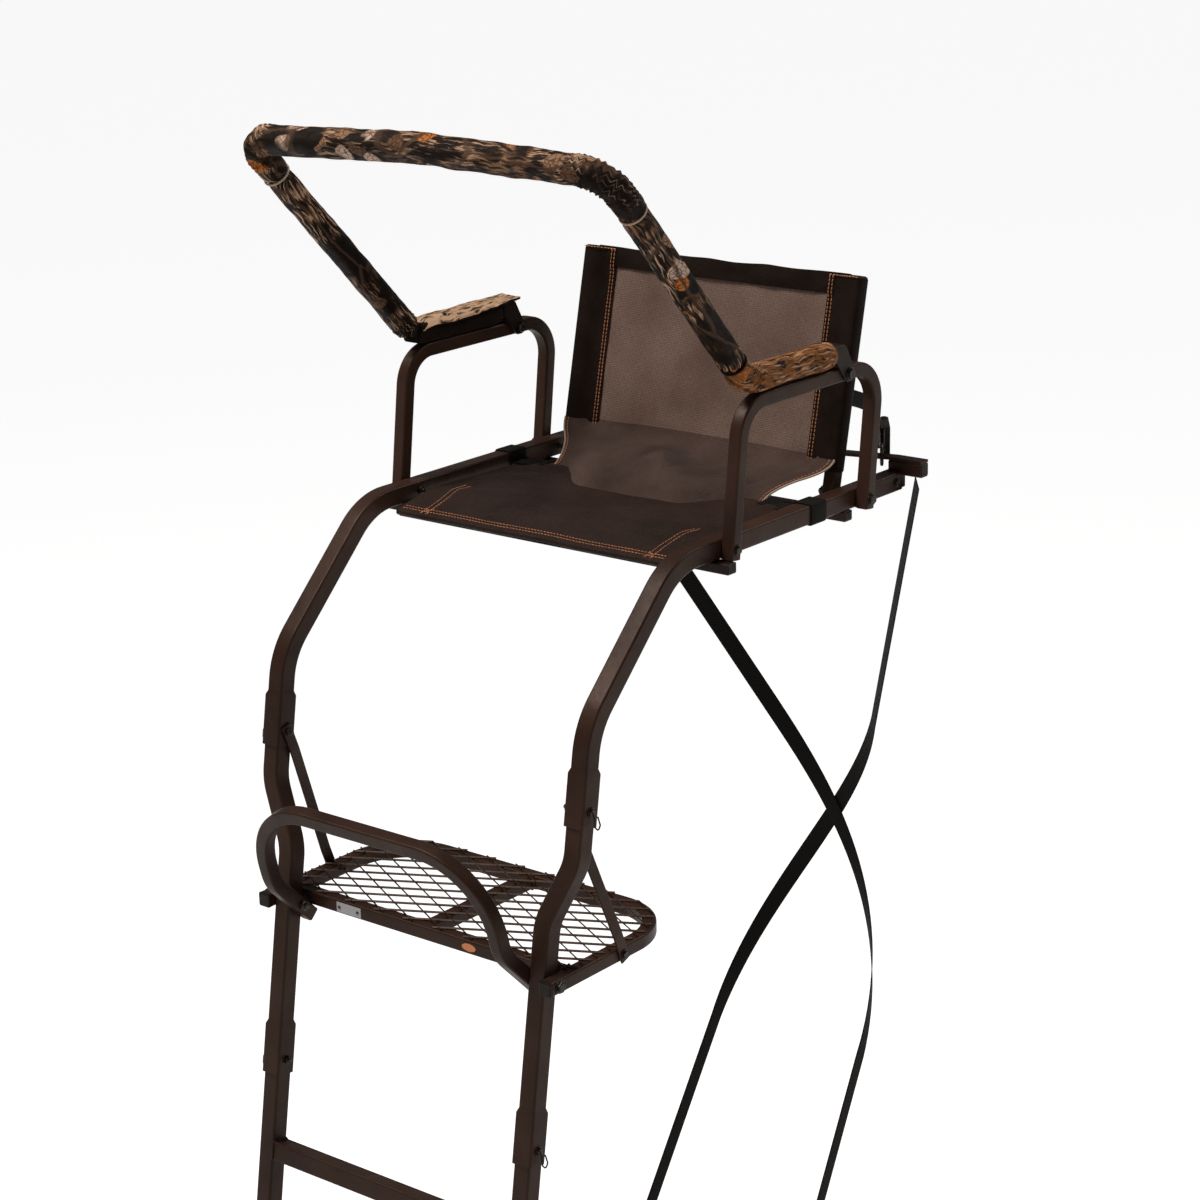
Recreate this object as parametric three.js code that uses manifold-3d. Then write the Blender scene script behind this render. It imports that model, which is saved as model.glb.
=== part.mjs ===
// A two-section ladder tree stand: ladder, platform, seat, padded shooting rail and tree straps.
// Millimetres. +X is the sitter's left, +Y points at the tree, +Z is up.
// The origin is the vertex of the tree brace, where the trunk nests.
import * as THREE from 'three';
import { mergeVertices } from 'three/addons/utils/BufferGeometryUtils.js';
import Module from 'manifold-3d';

const wasm = await Module();
wasm.setup();

// ---------------------------------------------------------------- driving dimensions
const GAP = 0.3; // between pieces that touch
const RAIL = 25.4; // square tube of the rails
const RAIL_WALL = 1.5;
const SOCKET = 30; // flared lower end that takes the next section
const SOCKET_WALL = 1.9;
const SOCKET_LENGTH = 66;
const FLARE = 6; // length of the cone between tube and socket
const LIGHT = 19; // square tube of arms, platform and footrest
const LIGHT_WALL = 1.3;
const RUNG = 25.4;
const RUNG_WALL = 1.3;
const BEND_STEP = 9; // degrees between the stations of a bend

const SEAT_HALF = 255; // centre plane to seat rail axis
const LADDER_HALF = 217; // centre plane to ladder rail axis
const LEAN = THREE.MathUtils.degToRad(9.37); // ladder from the vertical
const SEAT_Z = -27.5; // seat rail axis
const RAIL_REAR_Y = 37;
const TOP_BEND = [-457.5, SEAT_Z]; // corner between seat rail and slope, as Y and Z
const LOW_BEND = [-625.9, -191.8]; // corner between slope and ladder line
const RAIL_BEND_RADIUS = 100;

// Stations along the leaning ladder line, measured downwards from the first socket's top.
const LADDER_START = [-634, -241];
const FIRST_SOCKET = 0;
const JOG = { from: 118, to: 200, radius: 70 }; // the platform rails jog inwards here
const SECOND_SOCKET = 437;
const SECTION = 1220; // one lower ladder section, socket top to socket top
const FIRST_RUNG = 614;
const RUNG_PITCH = 406.7;
const RUNGS = 6;
const FOOT_SOLE = 9; // rail end to ground
const FOOT_STATION = SECOND_SOCKET + 2 * SECTION;

const PLATFORM_HALF = LADDER_HALF + RAIL / 2 + GAP + LIGHT / 2;
const PLATFORM_Z = -509.5;
const PLATFORM_FRONT_Y = -698;
const PLATFORM_REAR_Y = -439.5;
const PLATFORM_CORNER = 85;
const FRONT_BAR_Y = -651;
const FOOTREST_PIVOT_Y = -684; // bolt through side tube, ladder rail and footrest
const MESH = { thickness: 2, rim: 4, x: 51, y: 27, strand: 3.2 };
const BRACE_FOOT_Y = -562; // lower bolt of the platform's brace
const BRACE_BAR = { width: 16, thick: 3 };

const FOOTREST_HALF = LADDER_HALF - RAIL / 2 - GAP - LIGHT / 2;
const FOOTREST_KNEE = [-726, -467.5]; // Y and Z
const FOOTREST_TOP = [-759, -343];
const FOOTREST_TAIL = 20; // the tail reaches this far behind and below the pivot
const FOOTREST_RADII = [60, 100, 100, 60];

const CROSSBAR_HEIGHT = 14;
const CROSSBAR_Z = SEAT_Z - RAIL / 2 - GAP - CROSSBAR_HEIGHT / 2;
const FRONT_CROSSBAR_Y = -380;
const REAR_CROSSBAR_Y = -93;

const ARM_HALF = SEAT_HALF + RAIL / 2 + GAP + LIGHT / 2;
const ARM_FOOT_Z = SEAT_Z - RAIL / 2;
const ARM_TOP_Z = 151.5;
const ARM_FRONT_Y = -366.8; // front leg axis at the foot
const ARM_REAR_Y = -69;
const ARM_SLOPE = 0.128; // the legs lean back by this much per unit of height
const ARM_RADIUS = 48;

const PAD = 38; // padded sleeve of the shooting rail, outside
const REST_TUBE = 20; // its tube
const REST_PIVOT_Y = -122.3;
const REST_TAIL = 6; // tube end to pivot
const REST_PAD_TAIL = 34; // pad end to pivot
const REST_Z = ARM_TOP_Z + LIGHT / 2 + GAP + PAD / 2;
const REST_BEND_Y = -334;
const REST_FRONT = { half: 288, y: -608, z: 471 };
const REST_RADII = [40, 42, 400, 42, 40];
const REST_BOW = 9; // the front bar's middle stands this much above its ends
const LUG = 3;


const BOLT = 4; // radius of the bolts that are pivots
const PIN = 3.2; // radius of the pins that join the sections
const PIN_DROP = 52; // socket top to pin
const ARM_BOLT_RISE = (SEAT_Z - ARM_FOOT_Z) * ARM_SLOPE;

const POST_HALF = 223;
const POST_PIVOT_Y = ARM_REAR_Y + ARM_BOLT_RISE; // one bolt holds arm, rail and post
const POST_LEAN = THREE.MathUtils.degToRad(12.9);
const POST_TOP = 287; // pivot to top end
const POST_TAIL = 29;
const SLEEVE = 1.9; // fabric sleeve over the posts
const SLING = { from: 27, to: 284, thick: 2.4 };

// Middle of the seat's fabric, as Y and Z: front hem, crest, and crease with the back.
const SEAT_SLING = { half: 234, hem: [-424, -43.5], crest: [-345, -22.5], crease: [-165, -26], radius: 90, thick: 3 };
const SEAT_LOOP = { y: -162, length: 34, thick: 1.8, gap: 0.4 }; // strap round each rail

const BRACE = { half: 250, depth: 57, width: 25, thick: 4 };
const STUB = { inner: 245, outer: 296, y: RAIL_REAR_Y + GAP + LIGHT / 2 };
const PRONG_LENGTH = 60;
const PRONG_BOLT_Y = 23;
const HOOK_HOLE = { x: 232, radius: 4 };

const TRUNK_RADIUS = 131; // of the trunk that the straps are drawn round
const TRUNK_Y = TRUNK_RADIUS / Math.cos(Math.atan(BRACE.depth / BRACE.half));
const STRAP = { width: 25, thick: 1.6, clear: 1.5 };
const CROSS_STRAP_START = new THREE.Vector3(285, 47, -31);
const CROSS_STRAP_STATION = 2700; // where it ends, down the ladder
const CROSS_STRAP_STAND_OFF = 16; // strap end to ladder rail
const TIE = { z: 14, hookReach: 22, ratchetAt: 80 }; // strap at the brace's height

const COLOURS = {
  steel: { color: 0x3a2b28, roughness: 0.45, metalness: 0.3 },
  plastic: { color: 0x0d0d0e, roughness: 0.6, metalness: 0 },
  zinc: { color: 0x55555a, roughness: 0.35, metalness: 0.9 },
  fabric: { color: 0x1d1714, roughness: 0.95, metalness: 0 },
  camo: { color: 0x5a4636, roughness: 0.95, metalness: 0 },
  webbing: { color: 0x0a0a0b, roughness: 0.9, metalness: 0 },
};

const stand = new THREE.Group();
const SIDES = { left: 1, right: -1 }; // as the sitter sees them: the sitter faces -Y

// ---------------------------------------------------------------- solids
// A curve through fixed stations. Its frames are carried along without twist, or are given.
class StationCurve extends THREE.Curve {
  constructor(stations, acrosses) {
    super();
    this.stations = stations;
    this.acrosses = acrosses;
  }
  getPoint(t, target = new THREE.Vector3()) {
    const place = Math.min(Math.max(t, 0), 1) * (this.stations.length - 1);
    const i = Math.min(Math.floor(place), this.stations.length - 2);
    return target.lerpVectors(this.stations[i], this.stations[i + 1], place - i);
  }
  getPointAt(u, target) {
    return this.getPoint(u, target);
  }
  getTangentAt(u, target = new THREE.Vector3()) {
    const last = this.stations.length - 1;
    const i = Math.round(u * last);
    const ahead = this.direction(Math.min(i, last - 1));
    const behind = this.direction(Math.max(i - 1, 0));
    return target.copy(ahead).add(behind).normalize();
  }
  direction(i) {
    return this.stations[i + 1].clone().sub(this.stations[i]).normalize();
  }
  getSpacedPoints() {
    return this.stations;
  }
  computeFrenetFrames(segments, closed) {
    if (!this.acrosses) return super.computeFrenetFrames(segments, closed);
    const tangents = this.stations.map((_, i) => this.getTangentAt(i / segments));
    const binormals = tangents.map((t, i) => t.clone().cross(this.acrosses[i]).normalize());
    const normals = tangents.map((t, i) => binormals[i].clone().cross(t).normalize());
    return { tangents, normals, binormals };
  }
}

// The corner points of a route, each turned into an arc of the given radius.
function bend(corners, radius) {
  const stations = [corners[0].clone()];
  for (let i = 1; i < corners.length - 1; i++) {
    const into = corners[i].clone().sub(corners[i - 1]).normalize();
    const out = corners[i + 1].clone().sub(corners[i]).normalize();
    const turn = into.angleTo(out);
    const r = Array.isArray(radius) ? radius[i - 1] : radius;
    const reach = r * Math.tan(turn / 2);
    const start = corners[i].clone().addScaledVector(into, -reach);
    const inward = out.clone().addScaledVector(into, -out.dot(into)).normalize();
    const steps = Math.max(2, Math.ceil(THREE.MathUtils.radToDeg(turn) / BEND_STEP));
    for (let k = 0; k <= steps; k++) {
      const a = (turn * k) / steps;
      stations.push(
        start.clone().addScaledVector(into, r * Math.sin(a)).addScaledVector(inward, r * (1 - Math.cos(a))),
      );
    }
  }
  stations.push(corners.at(-1).clone());
  return stations;
}

function rectangle(width, height) {
  const shape = new THREE.Shape();
  shape.moveTo(-width / 2, -height / 2);
  shape.lineTo(width / 2, -height / 2);
  shape.lineTo(width / 2, height / 2);
  shape.lineTo(-width / 2, height / 2);
  shape.closePath();
  return shape;
}

function sweepShape(shape, stations, acrosses = undefined) {
  const extrudePath = new StationCurve(stations, acrosses);
  const steps = stations.length - 1;
  return solid(new THREE.ExtrudeGeometry(shape, { steps, bevelEnabled: false, extrudePath }));
}

function sweep(stations, width, height = width, acrosses = undefined) {
  return sweepShape(rectangle(width, height), stations, acrosses);
}

function polygon(radius, sides) {
  const corners = Array.from({ length: sides }, (_, i) => {
    const angle = (2 * Math.PI * (i + 0.5)) / sides;
    return new THREE.Vector2(radius * Math.cos(angle), radius * Math.sin(angle));
  });
  return new THREE.Shape(corners);
}

// A closed three.js geometry as a Manifold, turned right side out if its faces point in.
function solid(geometry) {
  const bare = geometry.index ? geometry.toNonIndexed() : geometry.clone();
  bare.deleteAttribute('normal');
  bare.deleteAttribute('uv');
  const merged = mergeVertices(bare, 1e-4);
  const vertProperties = new Float32Array(merged.attributes.position.array);
  const triVerts = Uint32Array.from(merged.index.array);
  const made = new wasm.Manifold(new wasm.Mesh({ numProp: 3, vertProperties, triVerts }));
  if (made.volume() > 0) return made;
  for (let i = 0; i < triVerts.length; i += 3) {
    [triVerts[i], triVerts[i + 1]] = [triVerts[i + 1], triVerts[i]];
  }
  return new wasm.Manifold(new wasm.Mesh({ numProp: 3, vertProperties, triVerts }));
}

function geometryOf(manifold) {
  const { vertProperties, triVerts, numProp } = manifold.getMesh();
  const position = new Float32Array((vertProperties.length / numProp) * 3);
  for (let i = 0; i < position.length / 3; i++) {
    for (let k = 0; k < 3; k++) position[3 * i + k] = vertProperties[i * numProp + k];
  }
  const geometry = new THREE.BufferGeometry();
  geometry.setAttribute('position', new THREE.BufferAttribute(position, 3));
  geometry.setIndex(new THREE.BufferAttribute(Uint32Array.from(triVerts), 1));
  geometry.computeVertexNormals();
  return geometry;
}

function add(name, manifold, finish) {
  const mesh = new THREE.Mesh(geometryOf(manifold), new THREE.MeshStandardMaterial(COLOURS[finish]));
  mesh.name = name;
  stand.add(mesh);
}

const v = (x, y, z) => new THREE.Vector3(x, y, z);

// The same route, run on past both of its ends.
function lengthened(stations, extra) {
  const longer = stations.map((p) => p.clone());
  longer[0].addScaledVector(stations[0].clone().sub(stations[1]).normalize(), extra);
  longer.at(-1).addScaledVector(stations.at(-1).clone().sub(stations.at(-2)).normalize(), extra);
  return longer;
}

// A tube of square section along a route: outside less inside, open at both ends.
function tube(stations, width, wall, height = width) {
  const bore = sweep(lengthened(stations, 2), width - 2 * wall, height - 2 * wall);
  return sweep(stations, width, height).subtract(bore);
}

// A round rod along X, centred on a point, with as many sides as asked.
function rodX(centre, radius, length, sides = 12) {
  const geometry = new THREE.CylinderGeometry(radius, radius, length, sides);
  geometry.rotateZ(Math.PI / 2);
  geometry.translate(centre.x, centre.y, centre.z);
  return solid(geometry);
}

function block(low, high) {
  const geometry = new THREE.BoxGeometry(high.x - low.x, high.y - low.y, high.z - low.z);
  geometry.translate((low.x + high.x) / 2, (low.y + high.y) / 2, (low.z + high.z) / 2);
  return solid(geometry);
}

// A flat outline given as Y and Z, extruded along X.
function plateX(points, x0, x1) {
  const shape = new THREE.Shape(points.map(([y, z]) => new THREE.Vector2(y, z)));
  const geometry = new THREE.ExtrudeGeometry(shape, { depth: x1 - x0, bevelEnabled: false });
  const toX = new THREE.Matrix4().makeBasis(v(0, 1, 0), v(0, 0, 1), v(1, 0, 0)).setPosition(x0, 0, 0);
  return solid(geometry.applyMatrix4(toX));
}

// A bolt or pin along X: a shank with a head at one end and a nut at the other, both six-sided.
function boltX(y, z, headX, nutX, radius) {
  const out = Math.sign(headX - nutX);
  const headThick = 1.2 * radius;
  const nutThick = 1.4 * radius;
  const head = rodX(v(headX + (out * headThick) / 2, y, z), radius * 1.8, headThick, 6);
  const nut = rodX(v(nutX - (out * nutThick) / 2, y, z), radius * 1.8, nutThick, 6);
  const shank = rodX(v((headX + nutX) / 2, y, z), radius, Math.abs(headX - nutX) + radius, 12);
  return shank.add(head).add(nut);
}

const holeX = (x, y, z, radius) => rodX(v(x, y, z), radius + GAP, 60, 12);

// ---------------------------------------------------------------- ladder line
const down = v(0, -Math.sin(LEAN), -Math.cos(LEAN));

function onLadder(x, station) {
  return v(x, LADDER_START[0], LADDER_START[1]).addScaledVector(down, station);
}

// A shape built downwards along -Z at the origin, laid along the ladder line from a station.
function alongLadder(manifold, x, station) {
  const start = onLadder(x, station);
  const turned = manifold.rotate([-THREE.MathUtils.radToDeg(LEAN), 0, 0]);
  return turned.translate([start.x, start.y, start.z]);
}

// Outside and inside of a socket that hangs below the origin, with its flare above it.
function socketPair() {
  const frustum = (top, bottom, from, to) => {
    const geometry = new THREE.CylinderGeometry(top / Math.SQRT2, bottom / Math.SQRT2, to - from, 4);
    geometry.rotateY(Math.PI / 4);
    geometry.rotateX(Math.PI / 2);
    geometry.translate(0, 0, -(from + to) / 2);
    return solid(geometry);
  };
  const bore = SOCKET - 2 * SOCKET_WALL;
  const straight = (size, from, to) => block(v(-size / 2, -size / 2, -to), v(size / 2, size / 2, -from));
  return {
    outside: frustum(RAIL, SOCKET, 0, FLARE).add(straight(SOCKET, FLARE, FLARE + SOCKET_LENGTH)),
    inside: frustum(RAIL - 2 * RAIL_WALL, bore, -0.01, FLARE).add(straight(bore, FLARE, FLARE + SOCKET_LENGTH + 3)),
  };
}

function pinHole(x, station) {
  const at = onLadder(x, station + PIN_DROP);
  return holeX(at.x, at.y, at.z, PIN);
}

// A rail that may end in a socket: the route stops at the socket's top.
function rail(stations, x, socketStation, pinStations) {
  let outside = sweep(stations, RAIL);
  let inside = sweep(lengthened(stations, 2), RAIL - 2 * RAIL_WALL);
  if (socketStation !== undefined) {
    const pair = socketPair();
    outside = outside.add(alongLadder(pair.outside, x, socketStation));
    inside = inside.add(alongLadder(pair.inside, x, socketStation));
  }
  return pinStations.reduce((made, station) => made.subtract(pinHole(x, station)), outside.subtract(inside));
}

// ---------------------------------------------------------------- seat section
function seatRail(side) {
  const x = side * SEAT_HALF;
  const route = [v(x, RAIL_REAR_Y, SEAT_Z), v(x, ...TOP_BEND), v(x, ...LOW_BEND), onLadder(x, FIRST_SOCKET + 0.5)];
  return rail(bend(route, RAIL_BEND_RADIUS), x, FIRST_SOCKET, [FIRST_SOCKET])
    .subtract(holeX(x, POST_PIVOT_Y, SEAT_Z, BOLT))
    .subtract(holeX(x, ARM_FRONT_Y + ARM_BOLT_RISE, SEAT_Z, PIN))
    .subtract(holeX(x, PRONG_BOLT_Y, SEAT_Z, PIN));
}

function crossbar(y, half) {
  return tube([v(-half, y, CROSSBAR_Z), v(half, y, CROSSBAR_Z)], CROSSBAR_HEIGHT, LIGHT_WALL, LIGHT);
}

function arm(side) {
  const x = side * ARM_HALF;
  const rise = (ARM_TOP_Z - ARM_FOOT_Z) * ARM_SLOPE;
  const route = [
    v(x, ARM_FRONT_Y, ARM_FOOT_Z),
    v(x, ARM_FRONT_Y + rise, ARM_TOP_Z),
    v(x, ARM_REAR_Y + rise, ARM_TOP_Z),
    v(x, ARM_REAR_Y, ARM_FOOT_Z),
  ];
  return tube(bend(route, ARM_RADIUS), LIGHT, LIGHT_WALL)
    .subtract(holeX(x, REST_PIVOT_Y, ARM_TOP_Z, BOLT))
    .subtract(holeX(x, POST_PIVOT_Y, SEAT_Z, BOLT))
    .subtract(holeX(x, ARM_FRONT_Y + ARM_BOLT_RISE, SEAT_Z, PIN));
}

const postUp = v(0, Math.sin(POST_LEAN), Math.cos(POST_LEAN));

// The post leans back about its pivot; its tail stops against the rear crossbar.
function post(side) {
  const pivot = v(side * POST_HALF, POST_PIVOT_Y, SEAT_Z);
  const ends = [-POST_TAIL, POST_TOP].map((s) => pivot.clone().addScaledVector(postUp, s));
  return tube(ends, LIGHT, LIGHT_WALL).subtract(holeX(pivot.x, pivot.y, pivot.z, BOLT));
}

for (const [name, side] of Object.entries(SIDES)) {
  add(`seat_rail_${name}`, seatRail(side), 'steel');
  add(`arm_${name}`, arm(side), 'steel');
  add(`back_post_${name}`, post(side), 'steel');
  const armFace = side * (ARM_HALF + LIGHT / 2 + GAP);
  const postFace = side * (POST_HALF - LIGHT / 2 - GAP);
  const railFace = side * (SEAT_HALF - RAIL / 2 - GAP);
  add(`back_pivot_bolt_${name}`, boltX(POST_PIVOT_Y, SEAT_Z, armFace, postFace, BOLT), 'zinc');
  add(`arm_bolt_${name}`, boltX(ARM_FRONT_Y + ARM_BOLT_RISE, SEAT_Z, armFace, railFace, PIN), 'zinc');
}
add('seat_front_crossbar', crossbar(FRONT_CROSSBAR_Y, ARM_HALF + LIGHT / 2 + 2), 'plastic');
add('seat_rear_crossbar', crossbar(REAR_CROSSBAR_Y, SEAT_HALF + RAIL / 2), 'steel');

// ---------------------------------------------------------------- tree brace
function braceBlade() {
  const { half, depth, width, thick } = BRACE;
  const shape = new THREE.Shape();
  shape.moveTo(STUB.outer, depth);
  shape.lineTo(half, depth);
  shape.lineTo(0, 0);
  shape.lineTo(-half, depth);
  shape.lineTo(-STUB.outer, depth);
  shape.lineTo(-STUB.outer, depth - LIGHT);
  shape.lineTo(-half, depth - LIGHT);
  shape.lineTo(0, -width);
  shape.lineTo(half, depth - LIGHT);
  shape.lineTo(STUB.outer, depth - LIGHT);
  for (const side of [-1, 1]) {
    const hole = new THREE.Path();
    hole.absellipse(side * HOOK_HOLE.x, hookHoleY, HOOK_HOLE.radius, HOOK_HOLE.radius, 0, 2 * Math.PI, true);
    shape.holes.push(hole);
  }
  const geometry = new THREE.ExtrudeGeometry(shape, { depth: thick, bevelEnabled: false, curveSegments: 5 });
  return solid(geometry.translate(0, 0, -thick / 2));
}

// A short cross tube under each end of the blade, with a prong that slides into the seat rail.
function braceStub(side) {
  const z = -BRACE.thick / 2 - LIGHT / 2 + 0.1;
  const ends = [STUB.inner, STUB.outer].map((x) => v(side * x, STUB.y, z));
  const half = RAIL / 2 - RAIL_WALL - GAP;
  const x = side * SEAT_HALF;
  const rear = STUB.y + LIGHT / 2 - LIGHT_WALL;
  const prong = block(v(x - half, RAIL_REAR_Y - PRONG_LENGTH, SEAT_Z - half), v(x + half, rear, SEAT_Z + half));
  return tube(ends, LIGHT, LIGHT_WALL).add(prong).subtract(holeX(x, PRONG_BOLT_Y, SEAT_Z, PIN));
}

const hookHoleY = (BRACE.depth * HOOK_HOLE.x) / BRACE.half - BRACE.width / 2;
add('tree_brace', braceBlade().add(braceStub(1)).add(braceStub(-1)), 'steel');
for (const [name, side] of Object.entries(SIDES)) {
  const outer = side * (SEAT_HALF + RAIL / 2 + GAP);
  const inner = side * (SEAT_HALF - RAIL / 2 - GAP);
  add(`brace_bolt_${name}`, boltX(PRONG_BOLT_Y, SEAT_Z, outer, inner, PIN), 'zinc');
}

// ---------------------------------------------------------------- ladder
const PLUG = FLARE + 6; // socket top to the top of the tube inside it

function platformRail(side) {
  const wide = side * SEAT_HALF;
  const narrow = side * LADDER_HALF;
  const route = [
    onLadder(wide, FIRST_SOCKET + PLUG),
    onLadder(wide, JOG.from),
    onLadder(narrow, JOG.to),
    onLadder(narrow, SECOND_SOCKET + 0.5),
  ];
  return rail(bend(route, JOG.radius), narrow, SECOND_SOCKET, [SECOND_SOCKET])
    .subtract(pinHole(wide, FIRST_SOCKET))
    .subtract(holeX(narrow, FOOTREST_PIVOT_Y, PLATFORM_Z, BOLT));
}

function ladderRail(side, top, bottom, hasSocket) {
  const x = side * LADDER_HALF;
  const route = [onLadder(x, top + PLUG), onLadder(x, bottom + (hasSocket ? 0.5 : 0))];
  return hasSocket ? rail(route, x, bottom, [top, bottom]) : rail(route, x, undefined, [top]);
}

function rung(station) {
  const half = LADDER_HALF - RAIL / 2 - GAP;
  return alongLadder(tube([v(-half, 0, 0), v(half, 0, 0)], RUNG, RUNG_WALL), 0, station);
}

// A plastic cap on the end of the rail, cut off level with the ground.
function foot(side) {
  const x = side * LADDER_HALF;
  const half = RAIL / 2 + GAP;
  const cup = block(v(-half - 2.5, -half - 2.5, -20), v(half + 2.5, half + 2.5, 22))
    .subtract(block(v(-half, -half, -GAP), v(half, half, 24)));
  const ground = onLadder(x, FOOT_STATION).z - FOOT_SOLE;
  return alongLadder(cup, x, FOOT_STATION)
    .subtract(block(v(x - 60, -3000, ground - 100), v(x + 60, 0, ground)));
}

function sectionPin(half, side, station, innerStack) {
  const at = onLadder(0, station + PIN_DROP);
  const outer = side * (half + SOCKET / 2 + GAP);
  const inner = side * (half - SOCKET / 2 - GAP - innerStack);
  return boltX(at.y, at.z, outer, inner, PIN);
}

const thirdSocket = SECOND_SOCKET + SECTION;
for (const [name, side] of Object.entries(SIDES)) {
  add(`platform_rail_${name}`, platformRail(side), 'steel');
  add(`upper_ladder_rail_${name}`, ladderRail(side, SECOND_SOCKET, thirdSocket, true), 'steel');
  add(`lower_ladder_rail_${name}`, ladderRail(side, thirdSocket, FOOT_STATION, false), 'steel');
  add(`foot_${name}`, foot(side), 'plastic');
  add(`seat_pin_${name}`, sectionPin(SEAT_HALF, side, FIRST_SOCKET, BRACE_BAR.thick + GAP), 'zinc');
  add(`platform_pin_${name}`, sectionPin(LADDER_HALF, side, SECOND_SOCKET, 0), 'zinc');
  add(`ladder_pin_${name}`, sectionPin(LADDER_HALF, side, thirdSocket, 0), 'zinc');
}
for (let i = 0; i < RUNGS; i++) add(`rung_${i + 1}`, rung(FIRST_RUNG + i * RUNG_PITCH), 'steel');

// ---------------------------------------------------------------- platform
const SIDE_TUBE_FACE = PLATFORM_HALF + LIGHT / 2;

function platformFrame() {
  const corners = [
    v(-PLATFORM_HALF, PLATFORM_FRONT_Y, PLATFORM_Z),
    v(-PLATFORM_HALF, PLATFORM_REAR_Y, PLATFORM_Z),
    v(PLATFORM_HALF, PLATFORM_REAR_Y, PLATFORM_Z),
    v(PLATFORM_HALF, PLATFORM_FRONT_Y, PLATFORM_Z),
  ];
  let frame = tube(bend(corners, PLATFORM_CORNER), LIGHT, LIGHT_WALL);
  for (const side of [-1, 1]) {
    frame = frame
      .subtract(holeX(side * PLATFORM_HALF, FOOTREST_PIVOT_Y, PLATFORM_Z, BOLT))
      .subtract(holeX(side * PLATFORM_HALF, BRACE_FOOT_Y, PLATFORM_Z, PIN));
  }
  return frame;
}

// The bar behind the ladder rails and the tube that runs back from its middle, welded in a T.
function platformBars() {
  const half = PLATFORM_HALF - LIGHT / 2 - GAP;
  const front = [v(-half, FRONT_BAR_Y, PLATFORM_Z), v(half, FRONT_BAR_Y, PLATFORM_Z)];
  const joint = FRONT_BAR_Y + LIGHT / 2 - LIGHT_WALL / 2;
  const rear = PLATFORM_REAR_Y - LIGHT / 2 - GAP;
  const middle = [v(0, joint, PLATFORM_Z), v(0, rear, PLATFORM_Z)];
  const bore = sweep([v(0, joint + LIGHT_WALL, PLATFORM_Z), v(0, rear + 2, PLATFORM_Z)], LIGHT - 2 * LIGHT_WALL);
  return tube(front, LIGHT, LIGHT_WALL).add(sweep(middle, LIGHT).subtract(bore));
}

// The sheet's outline, this far inside the outer edge of the frame.
function meshOutline(inset) {
  const half = SIDE_TUBE_FACE - inset;
  const rear = PLATFORM_REAR_Y + LIGHT / 2 - inset;
  const front = FRONT_BAR_Y - LIGHT / 2 + inset;
  const r = PLATFORM_CORNER + LIGHT / 2 - inset;
  const shape = new THREE.Shape();
  shape.moveTo(-half, front);
  shape.lineTo(half, front);
  shape.lineTo(half, rear - r);
  shape.absarc(half - r, rear - r, r, 0, Math.PI / 2, false);
  shape.lineTo(-half + r, rear);
  shape.absarc(-half + r, rear - r, r, Math.PI / 2, Math.PI, false);
  shape.closePath();
  return shape;
}

function meshSheet(shapes) {
  const geometry = new THREE.ExtrudeGeometry(shapes, { depth: MESH.thickness, bevelEnabled: false, curveSegments: 6 });
  return solid(geometry.translate(0, 0, PLATFORM_Z + LIGHT / 2 + GAP));
}

// Expanded metal: a sheet with rows of diamonds cut out of it, inside a plain rim.
function platformMesh() {
  const a = MESH.x / 2;
  const b = MESH.y / 2;
  const keep = 1 - (MESH.strand / 2) * (Math.hypot(a, b) / (a * b));
  const diamonds = [];
  const columns = Math.ceil(PLATFORM_HALF / a);
  const middleY = (FRONT_BAR_Y + PLATFORM_REAR_Y) / 2;
  const rows = Math.ceil((PLATFORM_REAR_Y - FRONT_BAR_Y) / MESH.y) + 1;
  for (let i = -columns; i <= columns; i++) {
    for (let j = -rows; j <= rows; j++) {
      if ((i + j) % 2) continue;
      const x = i * a;
      const y = middleY + j * b;
      const corners = [[a, 0], [0, b], [-a, 0], [0, -b]];
      diamonds.push(new THREE.Shape(corners.map(([p, q]) => new THREE.Vector2(x + p * keep, y + q * keep))));
    }
  }
  const edge = 2;
  const openings = meshSheet(diamonds).intersect(meshSheet([meshOutline(edge + MESH.rim)]));
  return meshSheet([meshOutline(edge)]).subtract(openings);
}

// A flat bar from the socket's inner face down to the outer face of the platform's side tube.
function platformBrace(side) {
  const top = onLadder(SEAT_HALF - SOCKET / 2 - GAP - BRACE_BAR.thick / 2, FIRST_SOCKET + PIN_DROP);
  const foot = v(SIDE_TUBE_FACE + GAP + BRACE_BAR.thick / 2, BRACE_FOOT_Y, PLATFORM_Z);
  const along = foot.clone().sub(top).setX(0).normalize();
  const flat = 30; // the ends stay flat against what they are bolted to
  const corners = [
    top.clone().addScaledVector(along, -9),
    top.clone().addScaledVector(along, flat),
    foot.clone().addScaledVector(along, -flat),
    foot.clone().addScaledVector(along, 9),
  ].map((p) => v(side * p.x, p.y, p.z));
  return sweep(bend(corners, 40), BRACE_BAR.thick, BRACE_BAR.width)
    .subtract(holeX(side * top.x, top.y, top.z, PIN))
    .subtract(holeX(side * foot.x, foot.y, foot.z, PIN));
}

// A plug over the open front end of the platform's side tube.
function endCap(side) {
  const x = side * PLATFORM_HALF;
  const half = LIGHT / 2;
  const stem = half - LIGHT_WALL - GAP;
  const face = PLATFORM_FRONT_Y - GAP;
  return block(v(x - half, face - 4, PLATFORM_Z - half), v(x + half, face, PLATFORM_Z + half))
    .add(block(v(x - stem, face - 1, PLATFORM_Z - stem), v(x + stem, face + 8, PLATFORM_Z + stem)));
}

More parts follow.
